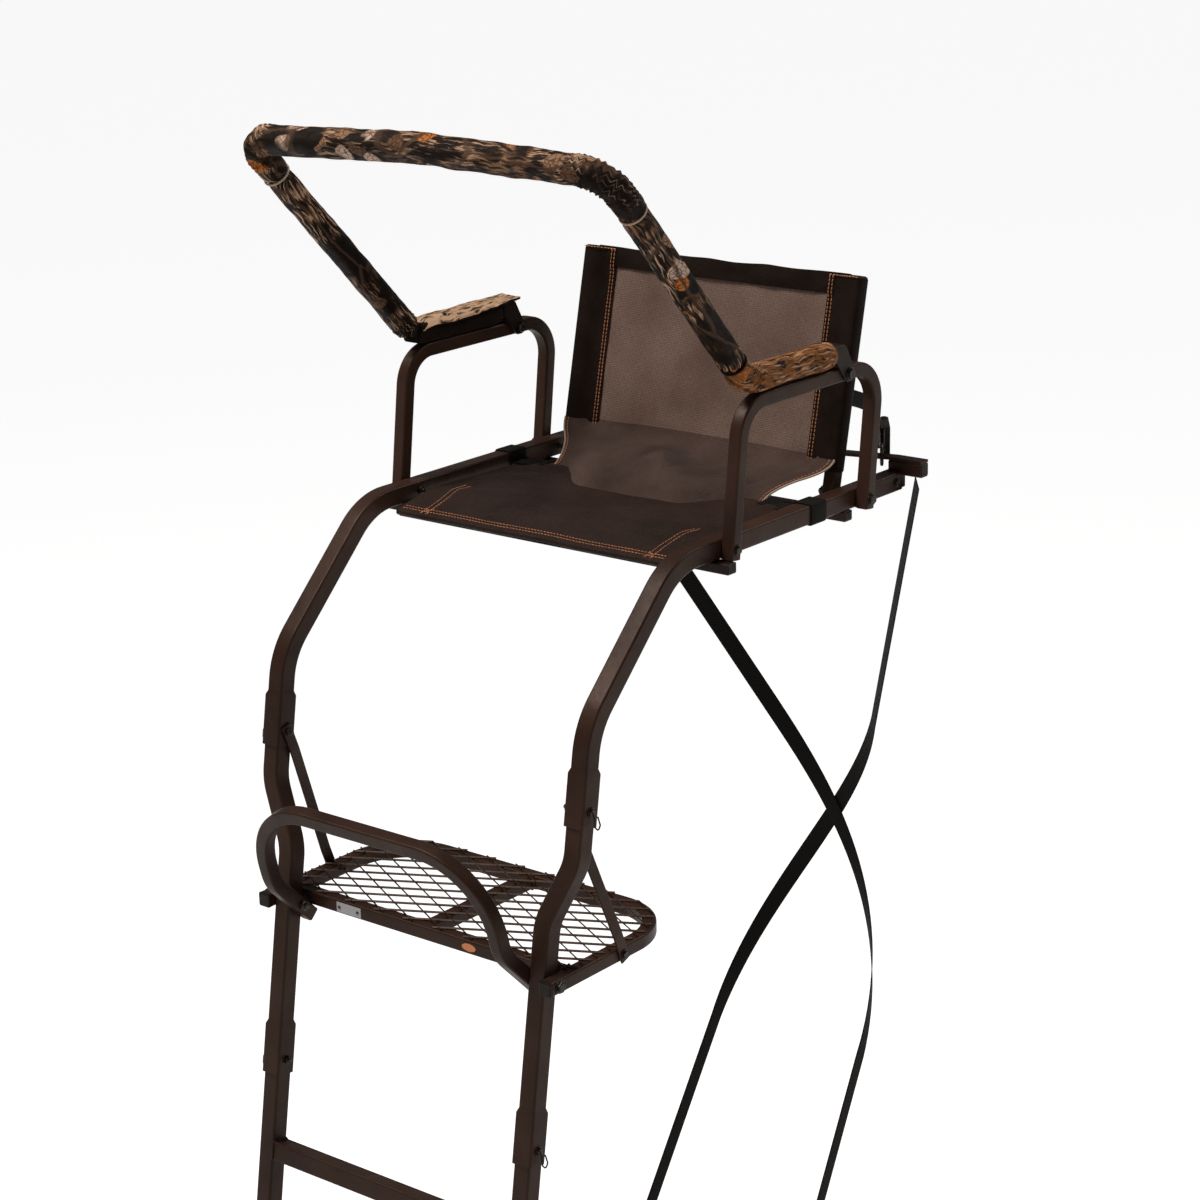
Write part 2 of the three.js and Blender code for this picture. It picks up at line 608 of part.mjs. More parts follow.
add('platform_frame', platformFrame(), 'steel');
add('platform_bars', platformBars(), 'steel');
add('platform_mesh', platformMesh(), 'steel');
for (const [name, side] of Object.entries(SIDES)) {
  add(`platform_brace_${name}`, platformBrace(side), 'steel');
  add(`platform_cap_${name}`, endCap(side), 'plastic');
  const outer = side * (SIDE_TUBE_FACE + 2 * GAP + BRACE_BAR.thick);
  const inner = side * (PLATFORM_HALF - LIGHT / 2 - GAP);
  add(`platform_brace_bolt_${name}`, boltX(BRACE_FOOT_Y, PLATFORM_Z, outer, inner, PIN), 'zinc');
}

// ---------------------------------------------------------------- footrest
function footrest() {
  const side = (s) => [
    v(s * FOOTREST_HALF, FOOTREST_PIVOT_Y + FOOTREST_TAIL, PLATFORM_Z - FOOTREST_TAIL),
    v(s * FOOTREST_HALF, ...FOOTREST_KNEE),
    v(s * FOOTREST_HALF, ...FOOTREST_TOP),
  ];
  const route = bend([...side(-1), ...side(1).reverse()], FOOTREST_RADII);
  return tube(route, LIGHT, LIGHT_WALL)
    .subtract(holeX(FOOTREST_HALF, FOOTREST_PIVOT_Y, PLATFORM_Z, BOLT))
    .subtract(holeX(-FOOTREST_HALF, FOOTREST_PIVOT_Y, PLATFORM_Z, BOLT));
}

add('footrest', footrest(), 'steel');
for (const [name, side] of Object.entries(SIDES)) {
  const outer = side * (SIDE_TUBE_FACE + GAP);
  const inner = side * (FOOTREST_HALF - LIGHT / 2 - GAP);
  add(`footrest_bolt_${name}`, boltX(FOOTREST_PIVOT_Y, PLATFORM_Z, outer, inner, BOLT), 'zinc');
}

// ---------------------------------------------------------------- shooting rail
function restRoute(tail) {
  const side = (s) => [
    v(s * ARM_HALF, REST_PIVOT_Y - tail, REST_Z),
    v(s * ARM_HALF, REST_BEND_Y, REST_Z),
    v(s * REST_FRONT.half, REST_FRONT.y, REST_FRONT.z),
  ];
  const middle = v(0, REST_FRONT.y, REST_FRONT.z + REST_BOW);
  return bend([...side(-1), middle, ...side(1).reverse()], REST_RADII);
}

// Two ears hang from each end of the tube and straddle the arm.
function lugs(side) {
  const y = REST_PIVOT_Y;
  const z = ARM_TOP_Z;
  const top = REST_Z + REST_TUBE / 2 - 1;
  const outline = [
    [y - 10, z - 6],
    [y - 4, z - 10],
    [y + 4, z - 10],
    [y + 10, z - 4],
    [y + 10, z + 14],
    [y - 2, top],
    [y - REST_PAD_TAIL + 2, top],
    [y - REST_PAD_TAIL + 2, REST_Z - REST_TUBE / 2 + 2],
  ];
  const inner = LIGHT / 2 + GAP;
  const pair = [-inner - LUG, inner].map((x) => plateX(outline, side * ARM_HALF + x, side * ARM_HALF + x + LUG));
  return pair[0].add(pair[1]);
}

function shootingRail() {
  let made = sweep(restRoute(REST_TAIL), REST_TUBE)
    .subtract(sweep(lengthened(restRoute(REST_TAIL), 2), REST_TUBE - 2 * LIGHT_WALL));
  for (const side of [-1, 1]) {
    made = made.add(lugs(side)).subtract(holeX(side * ARM_HALF, REST_PIVOT_Y, ARM_TOP_Z, BOLT));
  }
  return made;
}

function restPad() {
  const route = restRoute(REST_PAD_TAIL);
  return sweepShape(polygon(PAD / 2, 12), route)
    .subtract(sweep(lengthened(route, 2), REST_TUBE + 2 * GAP));
}

add('shooting_rail', shootingRail(), 'steel');
add('shooting_rail_pad', restPad(), 'camo');
for (const [name, side] of Object.entries(SIDES)) {
  const reach = LIGHT / 2 + 2 * GAP + LUG;
  const bolt = boltX(REST_PIVOT_Y, ARM_TOP_Z, side * (ARM_HALF + reach), side * (ARM_HALF - reach), BOLT);
  add(`shooting_rail_bolt_${name}`, bolt, 'zinc');
}

// ---------------------------------------------------------------- fabric
function seatSling() {
  const { half, hem, crest, crease, radius, thick } = SEAT_SLING;
  const middle = bend([hem, crest, crease].map(([y, z]) => v(0, y, z)), radius);
  let sling = sweep(middle, 2 * half, thick, middle.map(() => v(1, 0, 0)));
  const [low, high] = [crease[1] - thick / 2, crease[1] + thick / 2];
  for (const side of [-1, 1]) {
    const x = side * SEAT_HALF;
    const hole = RAIL / 2 + SEAT_LOOP.gap;
    const outside = hole + SEAT_LOOP.thick;
    const from = SEAT_LOOP.y - SEAT_LOOP.length / 2;
    const to = SEAT_LOOP.y + SEAT_LOOP.length / 2;
    const bridge = [side * (half - 8), side * (SEAT_HALF - outside + 1)].sort((p, q) => p - q);
    sling = sling
      .add(block(v(bridge[0], from, low), v(bridge[1], to, high)))
      .add(
        block(v(x - outside, from, SEAT_Z - outside), v(x + outside, to, SEAT_Z + outside))
          .subtract(block(v(x - hole, from - 1, SEAT_Z - hole), v(x + hole, to + 1, SEAT_Z + hole))),
      );
  }
  return sling;
}

function backSling() {
  const hole = LIGHT / 2 + GAP;
  const outside = hole + SLEEVE;
  const { from, to, thick } = SLING;
  let sling = block(v(-POST_HALF, -thick / 2, from), v(POST_HALF, thick / 2, to));
  for (const side of [-1, 1]) {
    const x = side * POST_HALF;
    sling = sling.add(block(v(x - outside, -outside, from), v(x + outside, outside, to)));
  }
  for (const side of [-1, 1]) {
    const x = side * POST_HALF;
    sling = sling.subtract(block(v(x - hole, -hole, from - 1), v(x + hole, hole, to + 1)));
  }
  return sling.rotate([-THREE.MathUtils.radToDeg(POST_LEAN), 0, 0]).translate([0, POST_PIVOT_Y, SEAT_Z]);
}

add('seat_sling', seatSling(), 'fabric');
add('back_sling', backSling(), 'fabric');

// ---------------------------------------------------------------- straps
// A taut strap from a point at +X, round the back of the trunk, to a point at -X. Its drop is
// spread evenly along it. Gives the stations and the direction that the flat face looks.
function roundTrunk(from, to, radius) {
  const touching = (point, way) => {
    const dx = point.x;
    const dy = point.y - TRUNK_Y;
    return Math.atan2(dy, dx) + way * Math.acos(radius / Math.hypot(dx, dy));
  };
  const first = touching(from, 1);
  const last = touching(to, -1) + 2 * Math.PI;
  const steps = Math.ceil(THREE.MathUtils.radToDeg(last - first) / 12);
  const radial = (a) => v(Math.cos(a), Math.sin(a), 0);
  const stations = [from.clone()];
  const facing = [radial(first)];
  for (let k = 0; k <= steps; k++) {
    const a = first + ((last - first) * k) / steps;
    stations.push(radial(a).multiplyScalar(radius).add(v(0, TRUNK_Y, 0)));
    facing.push(radial(a));
  }
  stations.push(to.clone());
  facing.push(radial(last));
  const lengths = [0];
  for (let i = 1; i < stations.length; i++) {
    const step = Math.hypot(stations[i].x - stations[i - 1].x, stations[i].y - stations[i - 1].y);
    lengths.push(lengths[i - 1] + step);
  }
  stations.forEach((p, i) => p.setZ(from.z + ((to.z - from.z) * lengths[i]) / lengths.at(-1)));
  return { stations, facing };
}

function strap(from, to, radius) {
  const { stations, facing } = roundTrunk(from, to, radius);
  return sweep(stations, STRAP.thick, STRAP.width, facing);
}

function crossStrap(layer) {
  const end = onLadder(-LADDER_HALF, CROSS_STRAP_STATION);
  end.y += RAIL / 2 / Math.cos(LEAN) + CROSS_STRAP_STAND_OFF;
  return strap(CROSS_STRAP_START, end, TRUNK_RADIUS + STRAP.clear * (1 + 2 * layer));
}

add('cross_strap_left', crossStrap(0).mirror([1, 0, 0]), 'webbing');
add('cross_strap_right', crossStrap(1), 'webbing');

// The tie strap runs from hook to hook at the brace's height.
const hookAt = v(HOOK_HOLE.x, hookHoleY, 0);
const tieRadius = TRUNK_RADIUS + STRAP.clear;
const tieTouch = roundTrunk(hookAt, v(-hookAt.x, hookAt.y, 0), tieRadius);
const tieAlong = tieTouch.stations[1].clone().sub(hookAt).setZ(0).normalize();
const tieFace = tieTouch.facing[0];
const tieStart = hookAt.clone().addScaledVector(tieAlong, TIE.hookReach).setZ(TIE.z);

// A solid made in the strap's own directions: along it, up, and away from the trunk.
function onTie(manifold, distance) {
  const place = hookAt.clone().addScaledVector(tieAlong, distance).setZ(TIE.z);
  const matrix = new THREE.Matrix4().makeBasis(tieAlong, v(0, 0, 1), tieFace).setPosition(place);
  return manifold.transform(matrix.elements);
}

// A rod across the strap.
function rodAcross(along, out, radius, half) {
  const geometry = new THREE.CylinderGeometry(radius, radius, 2 * half, 12);
  return solid(geometry.translate(along, 0, out));
}

const RATCHET = { plateFrom: 14.5, plate: 2, length: 24, axle: { along: 8, out: 7, radius: 4 } };

function ratchetFrame() {
  const { plateFrom, plate, length, axle } = RATCHET;
  let made = rodAcross(axle.along, axle.out, axle.radius, plateFrom + 2 * plate + 2)
    .add(rodAcross(-18, 5, 2.5, plateFrom + 1));
  for (const y of [plateFrom, -plateFrom - plate]) {
    made = made.add(block(v(-length, y, -5), v(length, y + plate, 13)));
  }
  return made;
}

function ratchetLever() {
  const { plateFrom, plate, axle } = RATCHET;
  const inner = plateFrom + plate + GAP;
  const outer = inner + plate;
  const reach = 48;
  let made = block(v(-reach, -outer, 6), v(-reach + 6, outer, 13));
  for (const y of [inner, -outer]) made = made.add(block(v(-reach, y, 1), v(axle.along + 6, y + plate, 13)));
  return made.subtract(rodAcross(axle.along, axle.out, axle.radius + GAP, outer + 5));
}

// An S-shaped wire through the hole in the blade, up to the end of the strap.
function tieHook() {
  const wire = 2.4;
  const at = (along, z) => hookAt.clone().addScaledVector(tieAlong, along).setZ(z);
  const corners = [at(-13, -1), at(-10, -9), at(0, -9), at(0, TIE.z), at(TIE.hookReach - 5, TIE.z)];
  return sweepShape(polygon(wire, 8), bend(corners, [4, 4.5, 8]));
}

const tieStrap = strap(tieStart, v(-tieStart.x, tieStart.y, TIE.z), tieRadius);
add('tie_strap', tieStrap, 'webbing');
add('tie_hook_left', tieHook(), 'zinc');
add('tie_hook_right', tieHook().mirror([1, 0, 0]), 'zinc');
add('ratchet_frame', onTie(ratchetFrame(), TIE.ratchetAt), 'zinc');
add('ratchet_lever', onTie(ratchetLever(), TIE.ratchetAt), 'zinc');

export default stand;
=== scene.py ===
# Looks of a two-section ladder tree stand around its CAD frame: rounded steel tube, a sewn sling
# seat with a see-through back, camouflage pads, pins and bolts, and the straps that go round a tree.
# Lengths are in millimetres while a piece is built, and in metres in its mesh.
# +X is the sitter's left, +Y points at the tree, +Z is up.
import math

import bmesh
import bpy
from mathutils import Matrix, Vector, noise


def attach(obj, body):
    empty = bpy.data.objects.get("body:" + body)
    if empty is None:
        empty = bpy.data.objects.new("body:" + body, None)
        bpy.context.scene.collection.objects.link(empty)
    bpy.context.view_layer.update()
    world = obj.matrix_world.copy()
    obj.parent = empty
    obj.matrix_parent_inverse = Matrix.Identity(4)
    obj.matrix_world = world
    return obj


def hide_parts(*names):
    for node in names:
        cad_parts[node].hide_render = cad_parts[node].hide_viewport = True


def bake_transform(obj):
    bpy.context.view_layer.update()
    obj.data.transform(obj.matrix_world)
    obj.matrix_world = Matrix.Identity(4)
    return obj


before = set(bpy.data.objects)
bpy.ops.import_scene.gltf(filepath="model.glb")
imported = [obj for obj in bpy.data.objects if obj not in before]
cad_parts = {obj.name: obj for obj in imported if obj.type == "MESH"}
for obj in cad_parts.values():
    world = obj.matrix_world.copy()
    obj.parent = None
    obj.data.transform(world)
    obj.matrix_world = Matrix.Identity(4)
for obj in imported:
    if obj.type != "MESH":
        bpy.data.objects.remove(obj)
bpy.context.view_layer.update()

MM = 0.001
SIDES = {"left": 1, "right": -1}
X, Y, Z = Vector((1, 0, 0)), Vector((0, 1, 0)), Vector((0, 0, 1))

# ---------------------------------------------------------------- the CAD model's dimensions
GAP = 0.3
RAIL, RAIL_WALL, LIGHT, RUNG = 25.4, 1.5, 19, 25.4
SOCKET, SOCKET_LENGTH, FLARE = 30, 66, 6
NEXT_TUBE = FLARE + 6
SEAT_HALF, LADDER_HALF = 255, 217
LEAN = math.radians(9.37)
SEAT_Z, RAIL_REAR_Y = -27.5, 37
TOP_BEND, LOW_BEND, RAIL_BEND_RADIUS = (-457.5, SEAT_Z), (-625.9, -191.8), 100
LADDER_START = (-634, -241)
JOG_FROM, JOG_TO, JOG_RADIUS = 118, 200, 70
FIRST_SOCKET, SECOND_SOCKET, SECTION = 0, 437, 1220
THIRD_SOCKET, FOOT_STATION = SECOND_SOCKET + SECTION, SECOND_SOCKET + 2 * SECTION
FIRST_RUNG, RUNG_PITCH, RUNGS = 614, 406.7, 6
RUNG_REACH = LADDER_HALF - RAIL / 2 - GAP
PLATFORM_HALF = LADDER_HALF + RAIL / 2 + GAP + LIGHT / 2
PLATFORM_Z, PLATFORM_FRONT_Y, PLATFORM_REAR_Y = -509.5, -698, -439.5
PLATFORM_CORNER = 85
FRONT_BAR_Y, FRONT_BAR_HALF = -651, PLATFORM_HALF - LIGHT / 2 - GAP
MESH_X, MESH_Y, MESH_STRAND = 51, 27, 3.2
BRACE_FOOT_Y, BRACE_BAR_WIDTH, BRACE_BAR_THICK = -562, 16, 3
FOOTREST_HALF, FOOTREST_PIVOT_Y = LADDER_HALF - RAIL / 2 - GAP - LIGHT / 2, -684
FOOTREST_KNEE, FOOTREST_TOP = (-726, -467.5), (-759, -343)
FOOTREST_TAIL, FOOTREST_RADII = 20, [60, 100, 100, 60]
CROSSBAR_HEIGHT = 14
CROSSBAR_Z = SEAT_Z - RAIL / 2 - GAP - CROSSBAR_HEIGHT / 2
FRONT_CROSSBAR_Y, REAR_CROSSBAR_Y = -380, -93
ARM_HALF = SEAT_HALF + RAIL / 2 + GAP + LIGHT / 2
ARM_FOOT_Z, ARM_TOP_Z = SEAT_Z - RAIL / 2, 151.5
ARM_FRONT_Y, ARM_REAR_Y, ARM_SLOPE, ARM_RADIUS = -366.8, -69, 0.128, 48
ARM_RISE, ARM_BOLT_RISE = (ARM_TOP_Z - ARM_FOOT_Z) * ARM_SLOPE, (SEAT_Z - ARM_FOOT_Z) * ARM_SLOPE
PAD, REST_TUBE, REST_PIVOT_Y = 38, 20, -122.3
REST_TAIL, REST_PAD_TAIL = 6, 34
REST_Z = ARM_TOP_Z + LIGHT / 2 + GAP + PAD / 2
REST_BEND_Y, REST_FRONT = -334, (288, -608, 471)
REST_RADII, REST_BOW, LUG = [40, 42, 400, 42, 40], 9, 3
BOLT, PIN, PIN_DROP = 4, 3.2, 52
POST_HALF, POST_PIVOT_Y = 223, ARM_REAR_Y + ARM_BOLT_RISE
POST_LEAN, POST_TOP, POST_TAIL = math.radians(12.9), 287, 29
SEAT_SLING_HALF = 234
SEAT_HEM, SEAT_CREST, SEAT_CREASE = (-424, -43.5), (-345, -22.5), (-165, -26)
SEAT_LOOP_Y, SEAT_LOOP_LENGTH, SEAT_LOOP_THICK = -162, 34, 1.8
BRACE_HALF, BRACE_DEPTH, BRACE_WIDTH, BRACE_THICK = 250, 57, 25, 4
STUB_INNER, STUB_OUTER, STUB_Y = 245, 296, RAIL_REAR_Y + GAP + LIGHT / 2
PRONG_BOLT_Y, PRONG_LENGTH = 23, 30
HOOK_HOLE_X, HOOK_HOLE_RADIUS = 232, 4
HOOK_HOLE_Y = BRACE_DEPTH * HOOK_HOLE_X / BRACE_HALF - BRACE_WIDTH / 2
TRUNK_RADIUS = 131
TRUNK_Y = TRUNK_RADIUS / math.cos(math.atan(BRACE_DEPTH / BRACE_HALF))
STRAP_WIDTH, STRAP_THICK, STRAP_CLEAR = 25, 1.6, 1.5
CROSS_STRAP_START = Vector((285, 47, -31))
CROSS_STRAP_STATION, CROSS_STRAP_STAND_OFF = 2700, 16
TIE_Z, TIE_HOOK_REACH, TIE_RATCHET_AT = 14, 22, 80

# ---------------------------------------------------------------- camera
camera = bpy.data.objects.new("camera", bpy.data.cameras.new("camera"))
bpy.context.scene.collection.objects.link(camera)
bpy.context.scene.camera = camera
camera.data.lens = 87.22
camera.data.sensor_width = 36
camera.data.clip_start, camera.data.clip_end = 0.05, 200
camera.matrix_world = Matrix((
    (0.77959, -0.16491, 0.60419, 2.34148),
    (0.62591, 0.23894, -0.74239, -3.16137),
    (-0.02194, 0.95693, 0.28950, 0.96045),
    (0, 0, 0, 1),
))

# ---------------------------------------------------------------- materials
WARM = (1.0, 0.80, 0.66, 1.0)
BARK_TONES = [
    (0.44, (0.003, 0.0018, 0.0014)), (0.51, (0.017, 0.008, 0.0042)), (0.57, (0.055, 0.026, 0.014)),
    (0.63, (0.17, 0.090, 0.050)), (0.70, (0.31, 0.19, 0.12)),
]
LEAF_COLOURS = [
    (0.0, (0.20, 0.105, 0.058)), (0.22, (0.40, 0.27, 0.20)), (0.38, (0.33, 0.10, 0.018)),
    (0.56, (0.007, 0.004, 0.003)), (0.74, (0.085, 0.040, 0.020)), (0.90, (0.034, 0.040, 0.012)),
]


class Paint:
    """A node material in the making: the shader, and short calls for the nodes that feed it."""

    def __init__(self, name, roughness, **fixed):
        self.material = bpy.data.materials.new(name)
        self.material.use_nodes = True
        self.tree = self.material.node_tree
        self.shader = self.tree.nodes["Principled BSDF"]
        self.shader.inputs["Roughness"].default_value = roughness
        for socket, value in fixed.items():
            self.shader.inputs[socket.replace("_", " ")].default_value = value
        self.place = self.node("ShaderNodeTexCoord").outputs["Object"]
        self.cloth = self.node("ShaderNodeUVMap").outputs["UV"]

    def node(self, kind, inputs=(), **settings):
        made = self.tree.nodes.new(kind)
        for name, value in settings.items():
            setattr(made, name, value)
        for socket, value in dict(inputs).items():
            self.feed(made.inputs[socket], value)
        return made

    def feed(self, socket, value):
        """Gives a socket what another node puts out, or a fixed value or colour."""
        if isinstance(value, bpy.types.NodeSocket):
            self.tree.links.new(value, socket)
        elif isinstance(value, tuple) and socket.type == "RGBA":
            socket.default_value = (*value[:3], 1)
        else:
            socket.default_value = value

    def stretched(self, source, scale):
        return self.node("ShaderNodeMapping", {"Vector": source, "Scale": scale}).outputs[0]

    def noise(self, scale, detail=3, source=None, distortion=0.0, output="Fac"):
        inputs = {"Vector": source or self.place, "Scale": scale, "Detail": detail, "Distortion": distortion}
        return self.node("ShaderNodeTexNoise", inputs).outputs[output]

    def cells(self, scale, source, feature="F1", output="Distance"):
        inputs = {"Vector": source, "Scale": scale}
        return self.node("ShaderNodeTexVoronoi", inputs, feature=feature).outputs[output]

    def wave(self, pitch, axis):
        """Bands on the cloth, one in so many millimetres. At scale 1 they come every 2 pi / 20 metres."""
        inputs = {"Vector": self.cloth, "Scale": 2 * math.pi / (20 * pitch * MM), "Detail": 1.0}
        return self.node("ShaderNodeTexWave", inputs, bands_direction=axis).outputs["Fac"]

    def weave(self, pitch):
        """Height of a plain weave with this many millimetres between threads."""
        return self.math("MAXIMUM", self.wave(pitch, "X"), self.wave(pitch, "Y"))

    def ramp(self, value, stops, interpolation="LINEAR"):
        """A value turned into a colour, or a grey level, by (value, colour) stops."""
        made = self.node("ShaderNodeValToRGB", {"Fac": value})
        made.color_ramp.interpolation = interpolation
        elements = made.color_ramp.elements
        while len(elements) < len(stops):
            elements.new(0.5)
        for element, (at, colour) in zip(elements, stops):
            element.position = at
            element.color = (*colour, 1) if isinstance(colour, tuple) else (colour, colour, colour, 1)
        return made.outputs["Color"]

    def math(self, operation, a, b):
        return self.node("ShaderNodeMath", {0: a, 1: b}, operation=operation).outputs[0]

    def mix(self, factor, a, b, blend="MIX"):
        """Two colours mixed. The mix node's colour sockets are its seventh and eighth."""
        made = self.node("ShaderNodeMix", {0: factor, 6: a, 7: b}, data_type="RGBA", blend_type=blend)
        return made.outputs[2]

    def colour(self, value):
        self.feed(self.shader.inputs["Base Color"], value)

    def mottle(self, scale, detail, *stops):
        """A colour that varies with a noise."""
        return self.ramp(self.noise(scale, detail), stops)

    def gloss(self, scale, stops, detail=3):
        """Roughness that varies with a noise."""
        self.feed(self.shader.inputs["Roughness"], self.ramp(self.noise(scale, detail), stops))

    def relief(self, *layers):
        """Bumps from (height socket, distance in mm), one on another."""
        normal = None
        for height, distance in layers:
            inputs = {"Height": height, "Distance": distance * MM, "Strength": 1.0}
            if normal:
                inputs["Normal"] = normal
            normal = self.node("ShaderNodeBump", inputs).outputs["Normal"]
        self.feed(self.shader.inputs["Normal"], normal)


def matt(name, roughness, specular, **fixed):
    """A paint with a weak, warm reflection."""
    return Paint(name, roughness, Specular_IOR_Level=specular, Specular_Tint=WARM, **fixed)


def powder_coat(name, dark, light):
    paint = matt(name, 0.4, 0.13)
    paint.colour(paint.mix(paint.mottle(9, 5, (0.35, 0.0), (0.7, 1.0)), dark, light))
    paint.gloss(34, [(0.3, 0.33), (0.7, 0.47)], 4)
    paint.relief((paint.noise(900, 2), 0.12), (paint.noise(60, 2), 0.35))
    return paint.material


def black_plastic():
    paint = matt("black_plastic", 0.5, 0.15)
    paint.colour(paint.mottle(30, 3, (0.3, (0.004, 0.003, 0.0027)), (0.8, (0.009, 0.007, 0.0062))))
    paint.gloss(80, [(0.3, 0.42), (0.7, 0.6)])
    paint.relief((paint.noise(1500, 2), 0.1))
    return paint.material


def dark_zinc():
    paint = Paint("dark_zinc", 0.35, Metallic=0.85)
    paint.colour(paint.mottle(120, 4, (0.3, (0.014, 0.0115, 0.010)), (0.75, (0.055, 0.045, 0.039))))
    paint.gloss(200, [(0.3, 0.28), (0.7, 0.5)])
    paint.relief((paint.noise(700, 2), 0.08))
    return paint.material


def seat_cloth():
    paint = matt("seat_cloth", 0.6, 0.11, Sheen_Weight=0.03, Sheen_Roughness=0.4)
    threads = paint.weave(1.6)
    mottled = paint.mottle(14, 4, (0.3, (0.0115, 0.0052, 0.0037)), (0.75, (0.027, 0.0133, 0.0098)))
    # The gaps between the threads are darkened: painted shade in the weave.
    paint.colour(paint.mix(paint.ramp(threads, [(0.3, 0.5), (1.0, 0.0)]), mottled, (0.003, 0.002, 0.0015)))
    paint.gloss(40, [(0.3, 0.42), (0.7, 0.6)])
    paint.relief((threads, 0.25), (paint.noise(70, 3), 0.8))
    return paint.material


def open_mesh(name, dark, light, least_cover):
    """See-through sports mesh: small holes between threads, in a cloth of mottled tone. The holes are
    darkened, as painted shade.
    """
    paint = matt(name, 0.75, 0.15, Sheen_Weight=0.04)
    threads = paint.weave(2.4)
    slubs = paint.noise(1.0, 2, paint.stretched(paint.cloth, (160.0, 900.0, 1.0)))
    tone = paint.mottle(11, 4, (0.3, dark), (0.75, light))
    slub_tone, hole_painted_shade = (tuple(c * share for c in dark) for share in (0.45, 0.3))
    streaked = paint.mix(paint.ramp(slubs, [(0.35, 0.45), (0.65, 0.0)]), tone, slub_tone)
    # The gaps between the threads are darkened: painted shade.
    paint.colour(paint.mix(paint.ramp(threads, [(0.3, 0.6), (0.9, 0.0)]), streaked, hole_painted_shade))
    paint.feed(paint.shader.inputs["Alpha"], paint.ramp(threads, [(0.18, least_cover), (0.45, 1.0)]))
    paint.relief((threads, 0.3), (paint.noise(60, 3), 0.6))
    return paint.material


def webbing():
    paint = matt("webbing", 0.7, 0.1)
    ribs = paint.math("MULTIPLY", paint.wave(2.0, "Y"), paint.wave(3.1, "DIAGONAL"))
    # The troughs between the ribs are darker and the ribs lighter: painted shade.
    paint.colour(paint.ramp(ribs, [(0.1, (0.002, 0.002, 0.0022)), (0.9, (0.009, 0.0085, 0.0085))]))
    paint.relief((ribs, 0.3), (paint.noise(90, 2), 0.3))
    return paint.material


def binding():
    paint = matt("binding", 0.7, 0.07)
    threads = paint.weave(1.5)
    paint.colour(paint.mottle(25, 3, (0.3, (0.0036, 0.0018, 0.0012)), (0.75, (0.0098, 0.0052, 0.0036))))
    paint.relief((threads, 0.25), (paint.noise(80, 2), 0.7))
    return paint.material


def thread():
    paint = Paint("orange_thread", 0.6, Sheen_Weight=0.3)
    paint.colour(paint.mottle(45, 3, (0.3, (0.24, 0.06, 0.012)), (0.8, (0.5, 0.17, 0.045))))
    paint.relief((paint.noise(2500, 1), 0.15))
    return paint.material


def camouflage(name, wear_and_light, wear_and_light_colour):
    """A print of bark and dead leaves: streaks along the cover, leaf patches, twigs and a little green. Over
    it goes a paler colour in rubbed patches: wear on the worn pad, painted light on the flap.
    """
    paint = matt(name, 0.72, 0.08)
    warp = paint.noise(34.0, 3.0, output="Color")
    bent = paint.mix(0.014, paint.place, warp, "ADD")
    laid = paint.mix(0.010, paint.cloth, warp, "ADD")
    ground = paint.ramp(paint.noise(24, 7, bent), BARK_TONES)
    grain = paint.noise(1.0, 6, paint.stretched(laid, (300.0, 36.0, 1.0)), 0.5)
    bark = paint.mix(paint.ramp(grain, [(0.45, 0.95), (0.53, 0.0)]), ground, (0.004, 0.0022, 0.0016))
    # Pale tan streaks along the grain: part of the print, partly painted highlight.
    where_pale = paint.ramp(paint.noise(12, 3, bent), [(0.42, 0.0), (0.54, 1.0)])
    pale_print_and_highlight = paint.math("MULTIPLY", paint.ramp(grain, [(0.54, 0.0), (0.60, 0.9)]), where_pale)
    pale = paint.mix(pale_print_and_highlight, bark, (0.37, 0.23, 0.145))
    leaf_cells = paint.stretched(bent, (1.0, 0.66, 1.3))
    leaf = paint.ramp(paint.cells(27, leaf_cells), [(0.36, 1.0), (0.40, 0.0)])
    leaf_colour = paint.ramp(paint.cells(27, leaf_cells, output="Color"), LEAF_COLOURS, "CONSTANT")
    patches = paint.math("MULTIPLY", leaf, paint.ramp(paint.noise(11, 3, bent), [(0.48, 0.0), (0.52, 1.0)]))
    leaves = paint.mix(patches, pale, leaf_colour)
    veins = paint.ramp(paint.cells(150, leaf_cells, "DISTANCE_TO_EDGE"), [(0.03, 0.8), (0.11, 0.0)])
    lined = paint.mix(paint.math("MULTIPLY", veins, patches), leaves, (0.006, 0.003, 0.002))
    twig_cells = paint.stretched(laid, (1.0, 0.35, 1.0))
    twig = paint.ramp(paint.cells(16, twig_cells, "DISTANCE_TO_EDGE"), [(0.012, 0.85), (0.035, 0.0)])
    crossed = paint.mix(twig, lined, (0.045, 0.024, 0.014))
    # A paler colour in rubbed patches: real wear on the worn pad, painted light on the flap.
    wear_and_light_noise = paint.noise(1.0, 6, paint.stretched(laid, (210.0, 55.0, 1.0)), 0.8)
    wear_and_light_mask = paint.math("MULTIPLY", paint.ramp(wear_and_light_noise, [(0.40, 0.0), (0.52, 1.0)]), wear_and_light)
    paint.colour(paint.mix(wear_and_light_mask, crossed, wear_and_light_colour))
    paint.gloss(60, [(0.3, 0.5), (0.7, 0.75)])
    paint.relief((paint.weave(1.3), 0.18), (paint.noise(120, 4), 0.8))
    return paint.material


def plain(name, colour, roughness, **fixed):
    paint = Paint(name, roughness, **fixed)
    darker = tuple(c * 0.7 for c in colour)
    paint.colour(paint.mix(paint.noise(40, 4), darker, colour))
    paint.relief((paint.noise(400, 2), 0.1))
    return paint.material


